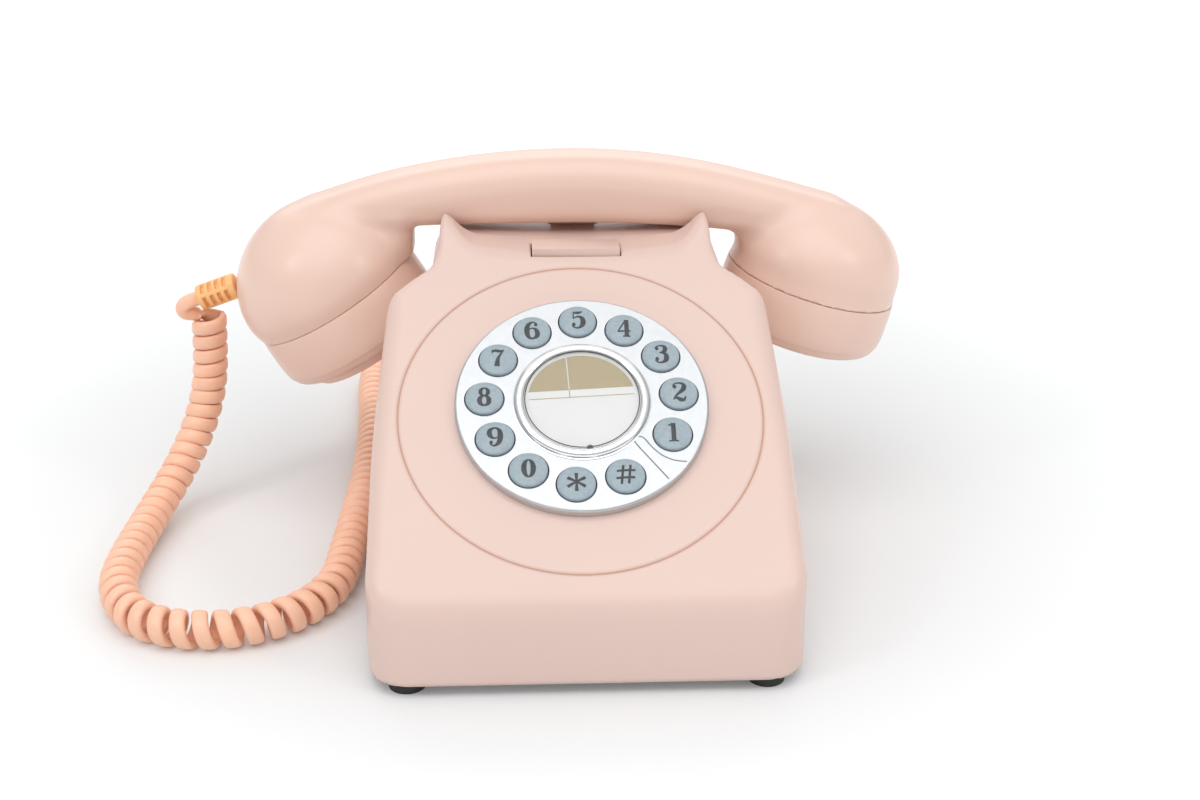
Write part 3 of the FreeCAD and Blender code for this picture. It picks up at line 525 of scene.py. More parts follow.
def solid(name, field, low, high, cell, finer=None, cuts=2):
    """A smooth mesh of a field's surface in millimetres, subdivided where finer(points) is true."""
    points, faces = surface_net(field, low, high, cell)
    for _ in range(3):
        points = onto_surface(field, evened(points, faces, 1), 2, cell)
    made = new_mesh(name, points, faces.tolist())
    if finer is not None:
        body = bmesh.new()
        body.from_mesh(made.data)
        body.verts.ensure_lookup_table()
        close = finer(points)
        chosen = [e for e in body.edges if close[e.verts[0].index] and close[e.verts[1].index]]
        bmesh.ops.subdivide_edges(body, edges=chosen, cuts=cuts, use_grid_fill=True)
        bmesh.ops.triangulate(body, faces=[f for f in body.faces if len(f.verts) > 4])
        body.to_mesh(made.data)
        body.free()
        points = np.array([v.co for v in made.data.vertices])
    points = onto_surface(field, points, 4, cell)
    made.data.vertices.foreach_set("co", (points * MM).ravel())
    made.data.polygons.foreach_set("use_smooth", [True] * len(made.data.polygons))
    made.data.update()
    return made


# ---------------------------------------------------------------- the case

SLOPE = math.radians(33)
FACE_ORIGIN = np.array([0.0, -31.3, 69.6])
FACE_NORMAL = np.array([0.0, -math.sin(SLOPE), math.cos(SLOPE)])
FACE_UP = np.array([0.0, math.cos(SLOPE), math.sin(SLOPE)])
SHOULDER_EDGE = np.array([62.0, 10.1, 94.2])
SHOULDER_NORMAL = np.array([0.607, 0.761, 0.226])
GROOVE_RADIUS = 58.8
GROOVE_MIDDLE = (-0.3, -2.0)
DIAL_HOLE = 39.1
CASE_HALF_WIDE, CASE_HALF_LONG, CASE_CORNER = 67.5, 92.5, 13
CASE_FOOT, WALL = 4, 2.5
NECK_HALF_WIDE = 47.0
SADDLE = 103.6  # height of the cradle's dip, on the middle line
REST = 104.4  # height of the level rest under the grip
HORN_TOP = 113.9
GLAND, GLAND_RADIUS = (-6.0, 12.5), 4.15  # (x, z) in the rear wall, and size
JACK, JACK_HALF = (20.0, 16.0), (7.7, 6.7)
SLIDER, SLIDER_HALF = (42.0, 16.0), (7.2, 2.6)
PLUNGER_SLOTS = [(15.5, 22.0, 33.6), (8.4, 57.6, 66.4)]  # half width, front and back


def face_coordinates(p):
    """Across, up the slope and above the face, from the dial's middle."""
    away = p - FACE_ORIGIN
    return away[:, 0], away @ FACE_UP, away @ FACE_NORMAL


def mirrored(p):
    return np.stack([np.abs(p[:, 0]), p[:, 1], p[:, 2]], axis=1)


def tilted(y, z, y0, z0, lean):
    """How far a point is beyond a wall through (y0, z0) that leans back with height."""
    return (y - y0 + lean * (z - z0)) / math.hypot(1, lean)


def wide_case(p):
    """The lower case: sides that draw in above the dial's middle, shoulders and wings."""
    m = mirrored(p)
    x, y, z = m.T
    side = x - CASE_HALF_WIDE + 0.115 * np.logaddexp(0, (z - 60) / 4) * 4
    front = tilted(-y, z, CASE_HALF_LONG, CASE_FOOT, 0.0667)
    rear = tilted(y, z, CASE_HALF_LONG, CASE_FOOT, 0.05)
    shoulder = np.maximum((m - SHOULDER_EDGE) @ SHOULDER_NORMAL, z - 101.5)
    plan = both(both(side, front, CASE_CORNER), rear, CASE_CORNER)
    wing_top = 0.2272 * (y - 26) + 0.9738 * (z - 60)
    roof = either(shoulder, wing_top, 8)
    return both(plan, roof, 9 - 6.4 * smooth_step(z, 66, 86))


def saddle_rise(x):
    return 1.8 * (x / 34) ** 2 + 5.3 * (np.maximum(x - 33, 0) / 10) ** 2


def neck(p):
    """The neck that carries the cradle, with its dip and a horn at each corner."""
    x, y, z = mirrored(p).T
    flare = 1.1 * (1 - np.tanh((z - 103) / 2))
    top_taper = 0.8 * smooth_step(z, 108, 114)
    rear_taper = 4.5 * smooth_step(y, 43, 62)
    side = x - (NECK_HALF_WIDE + flare - top_taper - rear_taper)
    rear = tilted(y, z, 82.0, 60, 0.04)
    solid_neck = both(side, rear, 7)
    solid_neck = np.maximum(solid_neck, -12 - y)
    grip_rest = both(both(REST - z, 41.2 - y, 2.5), y - 71.2, 2.5)
    rear_horns = both(111 - z, 60 - y, 1)
    solid_neck = without(solid_neck, grip_rest, 1.2)
    solid_neck = without(solid_neck, rear_horns, 2.5)
    steep = 2 * 1.8 * x / 34 ** 2 + 2 * 5.3 * np.maximum(x - 33, 0) / 100
    dip = (z - SADDLE - saddle_rise(x)) / np.hypot(1, steep)
    return both(both(solid_neck, dip, 1.5), z - HORN_TOP, 3.2)


def from_groove(across, up):
    """How far a place on the face is outside the groove round the dial."""
    return np.hypot(across - GROOVE_MIDDLE[0], up - GROOVE_MIDDLE[1]) - GROOVE_RADIUS


def case_body(p):
    """The case without its hollow and holes."""
    _, up, above = face_coordinates(p)
    whole = either(wide_case(p), neck(p), 1.5)
    rounding = 4.2 + 1.8 * smooth_step(up, -66, -50) - 4.0 * smooth_step(up, 38, 56)
    whole = both(whole, above, rounding)
    x, y, z = mirrored(p).T
    recess = both(both(x - 30, 62 - y, 4), np.abs(z - 76) - 10, 4)
    return without(whole, recess, 2)


def case_field(p):
    """The case: a shell, open below, with its groove, slots and holes."""
    across, up, above = face_coordinates(p)
    x, y, z = mirrored(p).T
    body = case_body(p)
    shell = np.maximum(body, -(body + WALL))
    shell = both(shell, CASE_FOOT - z, 0.8)
    shell = without(shell, np.maximum(np.hypot(across, up) - DIAL_HOLE, -9 - above), 0.3)
    ring = np.hypot(from_groove(across, up), above - 0.35) - 0.75
    shell = without(shell, ring, 0.3)
    for half, front, back in PLUNGER_SLOTS:
        slot = np.maximum(np.maximum(x - half, front - y), np.maximum(y - back, 90 - z))
        shell = without(shell, slot, 0.35)
    holes = np.hypot(p[:, 0] - GLAND[0], z - GLAND[1]) - GLAND_RADIUS
    for (x0, z0), (wide, tall) in ((JACK, JACK_HALF), (SLIDER, SLIDER_HALF)):
        hole = np.maximum(np.abs(p[:, 0] - x0) - wide, np.abs(z - z0) - tall)
        holes = np.minimum(holes, hole)
    return without(shell, np.maximum(holes, 80 - y), 0.3)


def near_case_detail(p):
    """Whether points lie near an edge that needs a finer mesh."""
    across, up, above = face_coordinates(p)
    x, y, z = mirrored(p).T
    near = (np.abs(from_groove(across, up)) < 2.4) & (np.abs(above) < 1.5)
    near = near | ((np.abs(np.hypot(across, up) - DIAL_HOLE) < 1.8) & (np.abs(above) < 3))
    for (x0, z0), wide, tall in ((GLAND, 6.5, 6.5), (JACK, 9.5, 8.5), (SLIDER, 9.2, 4.8)):
        near = near | ((y > 87) & (np.abs(p[:, 0] - x0) < wide) & (np.abs(z - z0) < tall))
    for half, front, back in PLUNGER_SLOTS:
        near = near | ((x < half + 1.7) & (y > front - 2) & (y < back + 2) & (z > 98))
    return near | ((x > 36) & (z > 103))


def case_shell():
    low, high = padded_box("case_shell", 3.0)
    made = solid("case_cover", case_field, low, high, 1.25, near_case_detail, cuts=3)
    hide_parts("case_shell")
    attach(made, "base")
    paint(made, FINISHES["case_plastic"])


case_shell()

# ---------------------------------------------------------------- the handset

GRIP_Y = 55.0
GRIP_TOP, GRIP_BOTTOM = 131.0, 107.0
GRIP_HALF_THICK, GRIP_LEAN = 13.2, 0.16
BAR_HALF_LONG = 107.6
SEAM_ROUNDING = 0.12


class Cup:
    """A cup of the handset: its seam's middle, its tilt about Y, and the size of its dome."""

    def __init__(self, x, z, tilt, seam, belly, high):
        lean = math.radians(tilt)
        self.middle = np.array([x, GRIP_Y, z])
        self.across = np.array([math.cos(lean), 0, -math.sin(lean)])
        self.axis = np.array([math.sin(lean), 0, math.cos(lean)])
        self.seam, self.belly, self.high = seam, belly, high

    def local(self, p):
        away = p - self.middle
        return away @ self.across, away[:, 1], away @ self.axis

    def dome(self, p):
        a, b, h = self.local(p)
        middle = 6.0
        scale = np.array([self.belly, self.belly, self.high - middle])
        q = np.stack([a, b, np.maximum(h - middle, 0)], axis=1)
        near = np.linalg.norm(q / scale, axis=1)
        far = np.maximum(np.linalg.norm(q / scale ** 2, axis=1), 1e-6)
        ball = near * (near - 1) / far
        draw_in = (self.belly - self.seam) * (np.maximum(middle - h, 0) / middle) ** 1.5
        return both(ball + draw_in, -h, SEAM_ROUNDING)

    def matrix(self):
        """Places a piece that was made about the cup's own axis."""
        columns = Matrix((self.across, (0, 1, 0), self.axis)).transposed().to_4x4()
        return Matrix.Translation(Vector(self.middle * MM)) @ columns


MOUTH = Cup(-86.4, 78.6, -30.8, 31.6, 32.9, 36.3)
EAR = Cup(87.9, 83.0, 15.5, 31.5, 30.9, 30.5)


def grip(p):
    """The bar between the cups: a rounded crown over sides that draw in towards the bottom."""
    x, y, z = p.T
    bend = np.where(x < 0, 0.0018, 0.0021)
    end_bend = np.where(x < 0, 0.0008, -0.0014)
    top = GRIP_TOP - bend * x * x - end_bend * np.maximum(np.abs(x) - 60, 0) ** 2
    bottom = GRIP_BOTTOM - np.where(x < 0, 0.0002, 0.00096) * x * x
    crown = (z - top) / np.hypot(1, 2 * bend * x)
    under = (bottom - z) / np.hypot(1, 0.0019 * x)
    out = np.abs(y - GRIP_Y)
    sides = (out - GRIP_HALF_THICK - GRIP_LEAN * (z - (top - 10))) / math.hypot(1, GRIP_LEAN)
    bar = both(both(sides, crown, 11), under, 4.5)
    return both(bar, np.abs(x) - BAR_HALF_LONG, 14.8)


def throat(p):
    """The thicker root of the bar over the mouthpiece's inner side."""
    x, y, z = p.T
    wall = (x + 57.8 - 0.3 * (z - 104)) / math.hypot(1, 0.3)
    return both(both(wall, np.abs(y - GRIP_Y) - 12, 6), np.maximum(-80 - x, z - 112), 2)


def handset_field(p):
    """The handset without its caps: the bar, its root and the two domes, cut at the seams."""
    whole = either(grip(p), throat(p), 3)
    side_on = smooth_step(np.abs(p[:, 1] - GRIP_Y), 7, 13)
    blend = 9 - 4.5 * np.maximum(smooth_step(p[:, 2], 104, 110), side_on)
    blend = blend - (blend - 1.8) * smooth_step(np.abs(p[:, 0]), 66.5, 97)
    for cup in (MOUTH, EAR):
        whole = either(whole, cup.dome(p), blend)
    for cup in (MOUTH, EAR):
        a, b, h = cup.local(p)
        whole = both(whole, np.where(np.hypot(a, b) < 45, -h, -50.0), SEAM_ROUNDING)
    return whole


def near_seam(p):
    """Whether points lie near the seam between the handset and a cap."""
    near = np.zeros(len(p), bool)
    for cup in (MOUTH, EAR):
        a, b, h = cup.local(p)
        near = near | ((np.abs(h) < 1.7) & (np.abs(np.hypot(a, b) - cup.seam) < 3))
    return near


def handset_shell():
    low, high = padded_box("handset_shell", 5.0)
    made = solid("handset_body", handset_field, low, high, 1.2, near_seam)
    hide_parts("handset_shell")
    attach(made, "handset")
    paint(made, HANDSET_PLASTIC)


handset_shell()


def lathe(name, profile, steps=128):
    """A mesh turned about Z from a closed line of (radius, height) points in millimetres."""
    points, faces, rings = [], [], []
    for radius, height in profile:
        if radius == 0:
            rings.append([len(points)])
            points.append((0, 0, height * MM))
            continue
        first = len(points)
        rings.append(list(range(first, first + steps)))
        for k in range(steps):
            angle = 2 * math.pi * k / steps
            spot = (radius * MM * math.cos(angle), radius * MM * math.sin(angle), height * MM)
            points.append(spot)
    for low, high in zip(rings, rings[1:] + rings[:1]):
        if len(low) == len(high) == 1:
            continue
        for k in range(steps):
            after = (k + 1) % steps
            corners = [low[k % len(low)], low[after % len(low)]]
            corners += [high[after % len(high)], high[k % len(high)]]
            faces.append(list(dict.fromkeys(corners)))
    made = new_mesh(name, points, faces)
    body = bmesh.new()
    body.from_mesh(made.data)
    bmesh.ops.recalc_face_normals(body, faces=body.faces)
    body.to_mesh(made.data)
    body.free()
    return shaded(made, 38)


def shaded(made, angle):
    """Smooth shading up to an angle, but flat on the faces that look straight along the axis."""
    made.data.set_sharp_from_angle(angle=math.radians(angle))
    smooth = [abs(face.normal.z) < 0.9999 for face in made.data.polygons]
    made.data.polygons.foreach_set("use_smooth", smooth)
    return made


def drilled(made, spots, radius, low, high, sides=24):
    """The piece with round holes through it along Z, at these places in millimetres."""
    body = bmesh.new()
    for x, y in spots:
        place = Matrix.Translation((x * MM, y * MM, (low + high) / 2 * MM))
        bmesh.ops.create_cone(
            body, cap_ends=True, segments=sides, radius1=radius * MM, radius2=radius * MM,
            depth=(high - low) * MM, matrix=place,
        )
    mesh = bpy.data.meshes.new("drill")
    body.to_mesh(mesh)
    body.free()
    drill = bpy.data.objects.new("drill", mesh)
    bpy.context.scene.collection.objects.link(drill)
    cut = made.modifiers.new("holes", "BOOLEAN")
    cut.object = drill
    cut.solver = "EXACT"
    bpy.context.view_layer.update()
    graph = bpy.context.evaluated_depsgraph_get()
    shape = bpy.data.meshes.new_from_object(made.evaluated_get(graph))
    made.modifiers.clear()
    made.data = shape
    bpy.data.objects.remove(drill)
    shaded(made, 32)


CAP_WALL = [
    (29.6, -0.03),
    (31.5, -0.04),
    (31.64, -0.12),
    (31.7, -0.5),
    (31.95, -5.0),
    (32.0, -10.0),
    (31.85, -13.5),
    (31.5, -16.0),
    (31.2, -16.8),
    (30.85, -17.1),
    (30.75, -17.4),
    (30.3, -18.5),
    (29.4, -19.5),
    (28.2, -20.2),
    (26.8, -20.5),
]
CAP_INSIDE = [(0, -18.1), (27.2, -18.1), (29.0, -16.0), (29.4, -5.0)]
HOLE_RING, HOLE_RADIUS = 10, 1.2


def cap(node, cup, face):
    """A bowl on a cup, closed by its pierced face."""
    made = lathe(node + "_bowl", CAP_WALL + face + CAP_INSIDE)
    angles = [k * math.pi / 4 for k in range(8)]
    holes = [(0, 0)] + [(HOLE_RING * math.cos(a), HOLE_RING * math.sin(a)) for a in angles]
    drilled(made, holes, HOLE_RADIUS, -27, -17)
    made.matrix_world = cup.matrix()
    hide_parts(node)
    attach(made, "handset")
    paint(made, HANDSET_PLASTIC)


cap("mouthpiece_cap", MOUTH, [
    (24.6, -20.6), (24.1, -20.8), (23.9, -21.5), (23.7, -23.0), (23.3, -23.8), (22.4, -24.1),
    (0, -24.1),
])
cap("earpiece_cap", EAR, [
    (23.0, -20.6), (22.2, -20.5), (21.8, -20.1), (16.0, -19.9), (0, -19.9),
])


class Boot:
    """The strain relief: where it starts on the cup, and the way it points."""

    START = np.array([-122.0, 55.0, 82.0])
    LEAN = math.radians(20)
    AHEAD = np.array([-math.cos(LEAN), 0, -math.sin(LEAN)])
    ASIDE = np.array([-math.sin(LEAN), 0, math.cos(LEAN)])
    LONG = 14.6
    ROWS = [3.4, 6.2, 9.0, 11.8]


def boot_field(p):
    """A round boot with rows of slots round it, and a bore for the wire."""
    away = p - Boot.START
    along = away @ Boot.AHEAD
    high, out = away @ Boot.ASIDE, away[:, 1]
    radius = np.hypot(high, out)
    around = np.arctan2(high, -out)
    body = both(radius - 4.7, np.abs(along - Boot.LONG / 2) - Boot.LONG / 2, 0.7)
    rib = np.abs((around - 0.35 + math.pi / 4) % (math.pi / 2) - math.pi / 4) * radius - 0.75
    for row in Boot.ROWS:
        slot = np.maximum(np.maximum(np.abs(along - row) - 0.72, 3.2 - radius), -rib)
        body = without(body, slot, 0.2)
    hole = np.maximum(radius - 2.4, 8 - along)
    return without(body, hole, 0.3)


def strain_relief():
    middle = Boot.START + Boot.AHEAD * Boot.LONG / 2
    made = solid("slotted_boot", boot_field, middle - 10, middle + 10, 0.32)
    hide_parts("cord_relief")
    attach(made, "handset")
    paint(made, FINISHES["relief_plastic"])


strain_relief()

# ---------------------------------------------------------------- the dial


def face_point(across, up, above):
    """A place on the sloping face in metres, from face coordinates in millimetres."""
    across, up, above = (np.asarray(v, float)[..., None] for v in (across, up, above))
    return (FACE_ORIGIN + across * np.array([1.0, 0, 0]) + up * FACE_UP + above * FACE_NORMAL) * MM


def face_span(node):
    """A CAD node's least and greatest face coordinates."""
    points = np.array([v.co for v in frame["nodes"][node].data.vertices]) / MM
    spans = np.stack(face_coordinates(points), axis=1)
    return spans.min(0), spans.max(0)


def middle_of(node):
    """Across and up of a CAD node's middle."""
    return (sum(face_span(node)) / 2)[:2]


def joined(name, parts, material, body):
    """One piece from (points, faces) parts."""
    points, faces = [], []
    for part_points, part_faces in parts:
        faces += [[k + len(points) for k in face] for face in part_faces]
        points += np.asarray(part_points).tolist()
    made = new_mesh(name, points, faces, smooth=False)
    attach(made, body)
    paint(made, material)


def stroke(line, lay, spacing=0.16, depth=0.12, proud=0.05):
    """A low ridge along a line of (x, y, half width) points, on the surface that lay gives."""
    if len(line) == 2:
        line = [line[0], tuple((a + b) / 2 for a, b in zip(*line)), line[1]]
    x, y, half = spline_points(line, spacing).T
    ahead = unit(np.stack([np.gradient(x), np.gradient(y)], axis=1))
    flank = proud * 0.6
    section = [(-1, -depth), (-1, flank), (-0.8, proud), (0.8, proud), (1, flank), (1, -depth)]
    points = []
    for share, height in section:
        aside, forward = ahead[:, 1] * half * share, ahead[:, 0] * half * share
        points.append(lay(x - aside, y + forward, height + 0 * x))
    count, rows = len(x), len(points)
    faces = []
    for row in range(rows):
        a, b = row * count, (row + 1) % rows * count
        faces += [(a + k, a + k + 1, b + k + 1, b + k) for k in range(count - 1)]
    faces.append([row * count for row in range(rows)])
    faces.append([row * count + count - 1 for row in range(rows)][::-1])
    return np.concatenate(points), faces


def loop(x, y, wide, tall, thin, thick):
    """An oval stroke, thick at its sides and thin at its top and bottom."""
    line = []
    for t in np.linspace(0, 2 * math.pi, 25):
        half = thin + (thick - thin) * abs(math.cos(t)) ** 1.3
        line.append((x + wide * math.cos(t), y + tall * math.sin(t), half))
    return line


def ball(x, y, radius):
    """A round end for a stroke."""
    shares = np.linspace(-0.98, 0.98, 9)
    return [(x + radius * s, y, radius * math.sqrt(1 - s * s)) for s in shares]


NINE_TURN = [
    (1.55, 2.45, 0.18), (0.95, 3.2, 0.2), (-0.2, 3.2, 0.3), (-1.45, 1.9, 0.62), (-1.7, -0.3, 0.74),
    (-1.5, -2.2, 0.6), (-0.5, -3.3, 0.28), (0.6, -3.2, 0.28), (1.7, -2.4, 0.6), (1.75, -0.9, 0.68),
    (1.2, 0.3, 0.45), (0.1, 0.75, 0.2), (-0.95, 0.3, 0.18), (-1.4, -0.6, 0.2),
]


def turned(line):
    return [(-x, -y, half) for x, y, half in line]


def star_arm(angle):
    spots = ((0, 0.14), (1.6, 0.26), (3.0, 0.28))
    return [(reach * math.cos(angle), reach * math.sin(angle), half) for reach, half in spots]


NUMERALS = {
    "1": [
        [(0.15, 3.3, 0.6), (0.15, -3.1, 0.6)],
        [(0.5, 3.2, 0.12), (-0.4, 2.75, 0.3), (-1.35, 2.4, 0.24)],
        [(-1.4, -3.2, 0.2), (1.6, -3.2, 0.2)],
    ],
    "2": [
        ball(-1.35, 1.75, 0.62),
        [
            (-1.85, 1.8, 0.2), (-1.7, 2.8, 0.2), (-0.4, 3.3, 0.22), (1.3, 3.1, 0.4),
            (1.75, 1.9, 0.7), (1.3, 0.5, 0.62), (-0.2, -0.8, 0.35), (-1.5, -2.1, 0.2),
            (-1.8, -3.0, 0.2),
        ],
        [
            (-1.8, -2.6, 0.2), (-0.9, -2.2, 0.35), (0.3, -3.1, 0.6), (1.7, -3.2, 0.4),
            (1.95, -1.8, 0.14),
        ],
    ],
    "3": [
        ball(-1.25, 2.0, 0.55),
        [
            (-1.7, 2.1, 0.2), (-1.5, 2.9, 0.2), (-0.2, 3.35, 0.2), (1.3, 3.0, 0.5),
            (1.45, 1.6, 0.66), (0.8, 0.5, 0.4), (-0.5, 0.35, 0.18),
        ],
        [
            (-0.5, 0.35, 0.18), (1.0, 0.35, 0.35), (1.75, -0.8, 0.7), (1.6, -2.5, 0.62),
            (0.2, -3.35, 0.24), (-1.2, -3.25, 0.2), (-1.85, -2.4, 0.2),
        ],
        ball(-1.35, -2.0, 0.6),
    ],
    "4": [
        [(0.75, 3.3, 0.58), (0.75, -3.1, 0.58)],
        [(0.6, 3.2, 0.2), (-2.0, -1.2, 0.2)],
        [(-2.2, -1.3, 0.24), (2.0, -1.3, 0.24)],
        [(-0.5, -3.2, 0.2), (1.9, -3.2, 0.2)],
    ],
    "5": [
        [(-1.35, 3.15, 0.14), (-0.6, 2.6, 0.5), (0.8, 2.75, 0.42), (1.5, 3.35, 0.12)],
        [(-1.3, 3.15, 0.18), (-1.45, 0.3, 0.16)],
        [
            (-1.45, 0.3, 0.16), (-0.6, 1.0, 0.22), (0.8, 1.1, 0.4), (1.75, 0.0, 0.7),
            (1.7, -2.0, 0.7), (0.5, -3.3, 0.28), (-1.1, -3.3, 0.2), (-1.8, -2.4, 0.2),
        ],
        ball(-1.3, -2.0, 0.6),
    ],
    "6": [ball(1.2, 2.1, 0.55), NINE_TURN],
    "7": [
        [(-1.85, 3.35, 0.14), (-1.85, 1.7, 0.14)],
        [
            (-1.85, 2.1, 0.14), (-1.3, 3.0, 0.42), (-0.2, 2.7, 0.5), (0.9, 2.4, 0.4),
            (1.85, 3.2, 0.14),
        ],
        [(1.8, 3.1, 0.16), (0.8, 1.3, 0.24), (-0.2, -0.6, 0.5), (-0.35, -3.2, 0.74)],
    ],
    "8": [loop(0, 1.7, 1.2, 1.5, 0.22, 0.52), loop(0, -1.55, 1.5, 1.7, 0.24, 0.64)],
    "9": [ball(-1.2, -2.1, 0.55), turned(NINE_TURN)],
    "0": [loop(0, 0, 1.45, 3.0, 0.22, 0.68)],
    "star": [star_arm(math.radians(30 + 60 * k)) for k in range(6)],
    "hash": [
        [(-1.35, -3.2, 0.2), (-0.65, 3.1, 0.2)],
        [(0.75, -3.1, 0.2), (1.45, 3.2, 0.2)],
        [(-2.6, 1.1, 0.2), (2.8, 1.3, 0.2)],
        [(-2.8, -1.3, 0.2), (2.6, -1.1, 0.2)],
    ],
}
SIGNS = ("star", "hash")
CROWN_RADIUS = 21.1
PRINT = 0.035


def numeral(name, lines):
    """A printed numeral on the crown of its key."""
    node = "key_" + name
    x0, y0 = middle_of(node)
    top = face_span(node)[1][2]

    def lay(x, y, height):
        return face_point(x0 + x, y0 + y, top - (x * x + y * y) / (2 * CROWN_RADIUS) + height)

    weight, grown = (2.0, 1.08) if name in SIGNS else (1.25, 1.02)
    lines = [[(grown * x, grown * y, weight * half) for x, y, half in line] for line in lines]
    parts = [stroke(line, lay, proud=PRINT) for line in lines]
    joined("numeral_" + name, parts, INK, node)


for name, lines in NUMERALS.items():
    numeral(name, lines)

LABEL_TURN = math.radians(3.2)


def label_print():
    """The printed card: a parted gold segment over a gold rule, and a dark notch at its foot."""
    top = face_span("number_label")[1][2]

    def lay(x, y, height):
        c, s = math.cos(LABEL_TURN), math.sin(LABEL_TURN)
        return face_point(x * c - y * s, x * s + y * c, top + height)

    def slab(outline):
        x, y = np.array(outline).T
        count = len(outline)
        points = np.concatenate([lay(x, y, 0.03 + 0 * x), lay(x, y, -0.05 + 0 * x)])
        sides = [(k, (k + 1) % count, count + (k + 1) % count, count + k) for k in range(count)]
        return points, [list(range(count)), list(range(count, 2 * count))[::-1]] + sides

    arc, chord, gap = 17.5, 4.2, (-3.95, -3.65)
    reach = math.sqrt(arc ** 2 - chord ** 2)
    parts = []
    for first, last in ((-reach, gap[0]), (gap[1], reach)):
        rim = [(x, math.sqrt(arc ** 2 - x * x)) for x in np.linspace(first, last, 40)]
        rim = [spot for spot in rim if spot[1] > chord + 0.001]
        parts.append(slab([(first, chord)] + rim + [(last, chord)]))
    parts.append(stroke([(-16.8, 1.35, 0.17), (16.9, 1.35, 0.17)], lay, 0.8, 0.03, 0.03))
    parts.append(stroke([(-3.8, 1.4, 0.16), (-3.8, 4.3, 0.16)], lay, 0.8, 0.03, 0.03))
    joined("label_print", parts, GOLD, "base")
    joined("label_notch", [stroke(ball(1.0, -18.0, 1.1), lay, 0.2, 0.03, 0.05)], INK, "base")


def finger_stop():
    """The outline of a finger stop, engraved in the dial plate's face, drawn as a thin dark grey ridge
    on it: painted shade for the engraving's groove.
    """
    top = face_span("dial_plate")[1][2]

    def lay(x, y, height):
        return face_point(x, y, top + height)

    line = [
        (26.2, -29.6), (21.2, -22.8), (16.6, -16.6), (15.9, -15.0), (16.8, -13.8),
        (18.4, -13.7), (19.6, -14.8), (20.8, -16.8), (22.5, -18.9), (24.4, -20.8),
        (26.8, -22.2), (29.4, -23.1), (32.2, -23.3),
    ]
    ridge = stroke([(x, y, 0.24) for x, y in line], lay, 0.3, 0.03, 0.02)
    joined("finger_stop_shade_line", [ridge], ENGRAVING_SHADE, "base")


label_print()
finger_stop()


def on_face(made, across=0.0, up=0.0):
    """Stands a turned piece on the sloping face, its axis at this place."""
    columns = Matrix(((1, 0, 0), FACE_UP, FACE_NORMAL)).transposed().to_4x4()
    made.matrix_world = Matrix.Translation(Vector(face_point(across, up, 0).ravel())) @ columns
    return made


def dial_piece(node, profile, material, spots=(), radius=0, body="base"):
    """A turned piece in place of a round CAD node of the dial: a key stands at its own middle."""
    made = lathe("turned_" + node, profile)
    if spots:
        drilled(made, spots, radius, -5, 9, 64)
    place = middle_of(node) if body != "base" else (0.0, 0.0)
    on_face(made, *place)
    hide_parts(node)
    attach(made, body)
    paint(made, material)


KEYS = ["1", "2", "3", "4", "5", "6", "7", "8", "9", "0", "star", "hash"]
KEY_RADIUS = 6.1
KEY_GAP = 0.42


def dial_disc():
    """The silver plate with a hole for each key."""
    high = face_span("dial_plate")[1]
    edge, top = high[0], high[2]
    middles = [middle_of("key_" + name) for name in KEYS]
    dial_piece("dial_plate", [
        (0, top), (edge - 0.75, top), (edge - 0.35, top - 0.12), (edge - 0.1, top - 0.4),
        (edge, top - 0.85), (edge, 0), (38, 0), (38, -2.5), (36, -2.5), (36, top - 2.4),
        (0, top - 2.4),
    ], FINISHES["dial_metal"], middles, KEY_RADIUS + KEY_GAP)


def key_cap(name):
    """A key: a domed button over a flange and a stem."""
    low, high = face_span("key_" + name)
    top, r = high[2], KEY_RADIUS
    crown = [(a, top - a * a / (2 * CROWN_RADIUS)) for a in (0, 1.5, 3.0, 4.4, r - 0.5)]
    edge = top - r * r / (2 * CROWN_RADIUS)
    flange = high[0] - (low[0] + high[0]) / 2
    dial_piece("key_" + name, crown + [
        (r - 0.2, edge - 0.02), (r - 0.05, edge - 0.2), (r, edge - 0.5), (r, -0.3),
        (flange, -0.35), (flange, -1.7), (3.0, -1.75), (3.0, low[2]), (0, low[2]),
    ], FINISHES["key_plastic"], body="key_" + name)


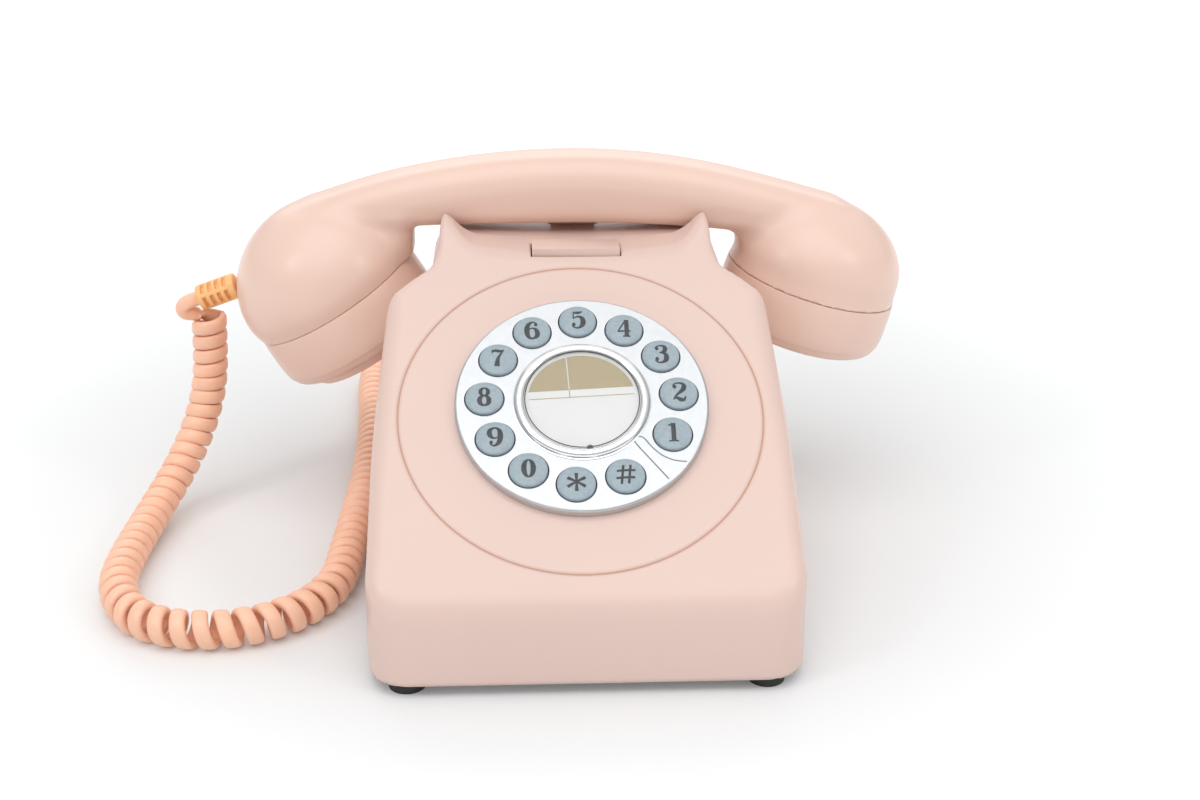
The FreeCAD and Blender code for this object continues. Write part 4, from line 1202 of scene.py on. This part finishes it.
def label_and_window():
    """The card in the middle of the dial, the clear window over it and a thin dark ring round that:
    painted shade in the gap between window and trim ring.
    """
    low, high = face_span("number_label")
    edge = high[0]
    dial_piece("number_label", [
        (0, high[2]), (edge - 0.1, high[2]), (edge, high[2] - 0.1), (edge, low[2]), (0, low[2]),
    ], FINISHES["label_card"])
    low, high = face_span("label_lens")
    dial_piece("label_lens", [
        (0, high[2]), (edge - 0.4, high[2]), (edge - 0.1, high[2] - 0.1), (edge, high[2] - 0.35),
        (edge, low[2] + 0.02), (0, low[2] + 0.02),
    ], FINISHES["clear_plastic"])
    top = high[2]
    # a thin black ring: painted shade in the gap inside the trim ring
    gap_shade = lathe("painted_gap_shade", [
        (18.2, top - 0.1), (18.25, top + 0.08), (18.5, top + 0.1), (18.5, top - 0.1),
    ])
    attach(on_face(gap_shade), "base")
    paint(gap_shade, FINISHES["black_plastic"])


def trim_ring():
    """The domed bright ring round the label."""
    low, high = face_span("dial_ring")
    base, proud = low[2], high[2]
    dial_piece("dial_ring", [
        (18.55, base), (18.5, proud - 1.2), (18.7, proud - 0.75), (19.1, proud - 0.35),
        (19.7, proud - 0.08), (20.3, proud), (20.9, proud - 0.12), (21.4, proud - 0.45),
        (21.75, proud - 0.95), (21.95, proud - 1.45), (22.3, proud - 1.55), (22.3, base),
    ], CHROME)


def groove_shade_ring():
    """A thin dark ring in the foot of the groove round the dial: painted shade where the groove lies in
    shadow.
    """
    made = lathe("painted_groove_shade", [
        (GROOVE_RADIUS - 0.3, -0.6), (GROOVE_RADIUS - 0.3, -0.3), (GROOVE_RADIUS, -0.24),
        (GROOVE_RADIUS + 0.3, -0.3), (GROOVE_RADIUS + 0.3, -0.6),
    ])
    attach(on_face(made, *GROOVE_MIDDLE), "base")
    paint(made, GROOVE_SHADE_PAINT)


groove_shade_ring()
dial_disc()
for name in KEYS:
    key_cap(name)
label_and_window()
trim_ring()

# ---------------------------------------------------------------- the CAD's own pieces


def soften(node, width):
    """Rounds a CAD node's edges a little, and shades it smooth."""
    holder = frame["nodes"][node]
    weld = holder.modifiers.new("weld", "WELD")
    weld.merge_threshold = 0.01 * MM
    bevel = holder.modifiers.new("bevel", "BEVEL")
    bevel.width = width * MM
    bevel.segments = 3
    bevel.limit_method = "ANGLE"
    bevel.angle_limit = math.radians(40)
    bevel.harden_normals = True
    holder.data.polygons.foreach_set("use_smooth", [True] * len(holder.data.polygons))


EDGES = {"case_plastic": 0.5, "grey_rubber": 0.4, "black_plastic": 0.25, "relief_plastic": 0.3}
for subpart in frame["record"]["subparts"]:
    node, where = subpart["node"], subpart["material_slot"]
    if not frame["nodes"][node].hide_render:
        paint(frame["nodes"][node], FINISHES[where])
        if where in EDGES:
            soften(node, EDGES[where])
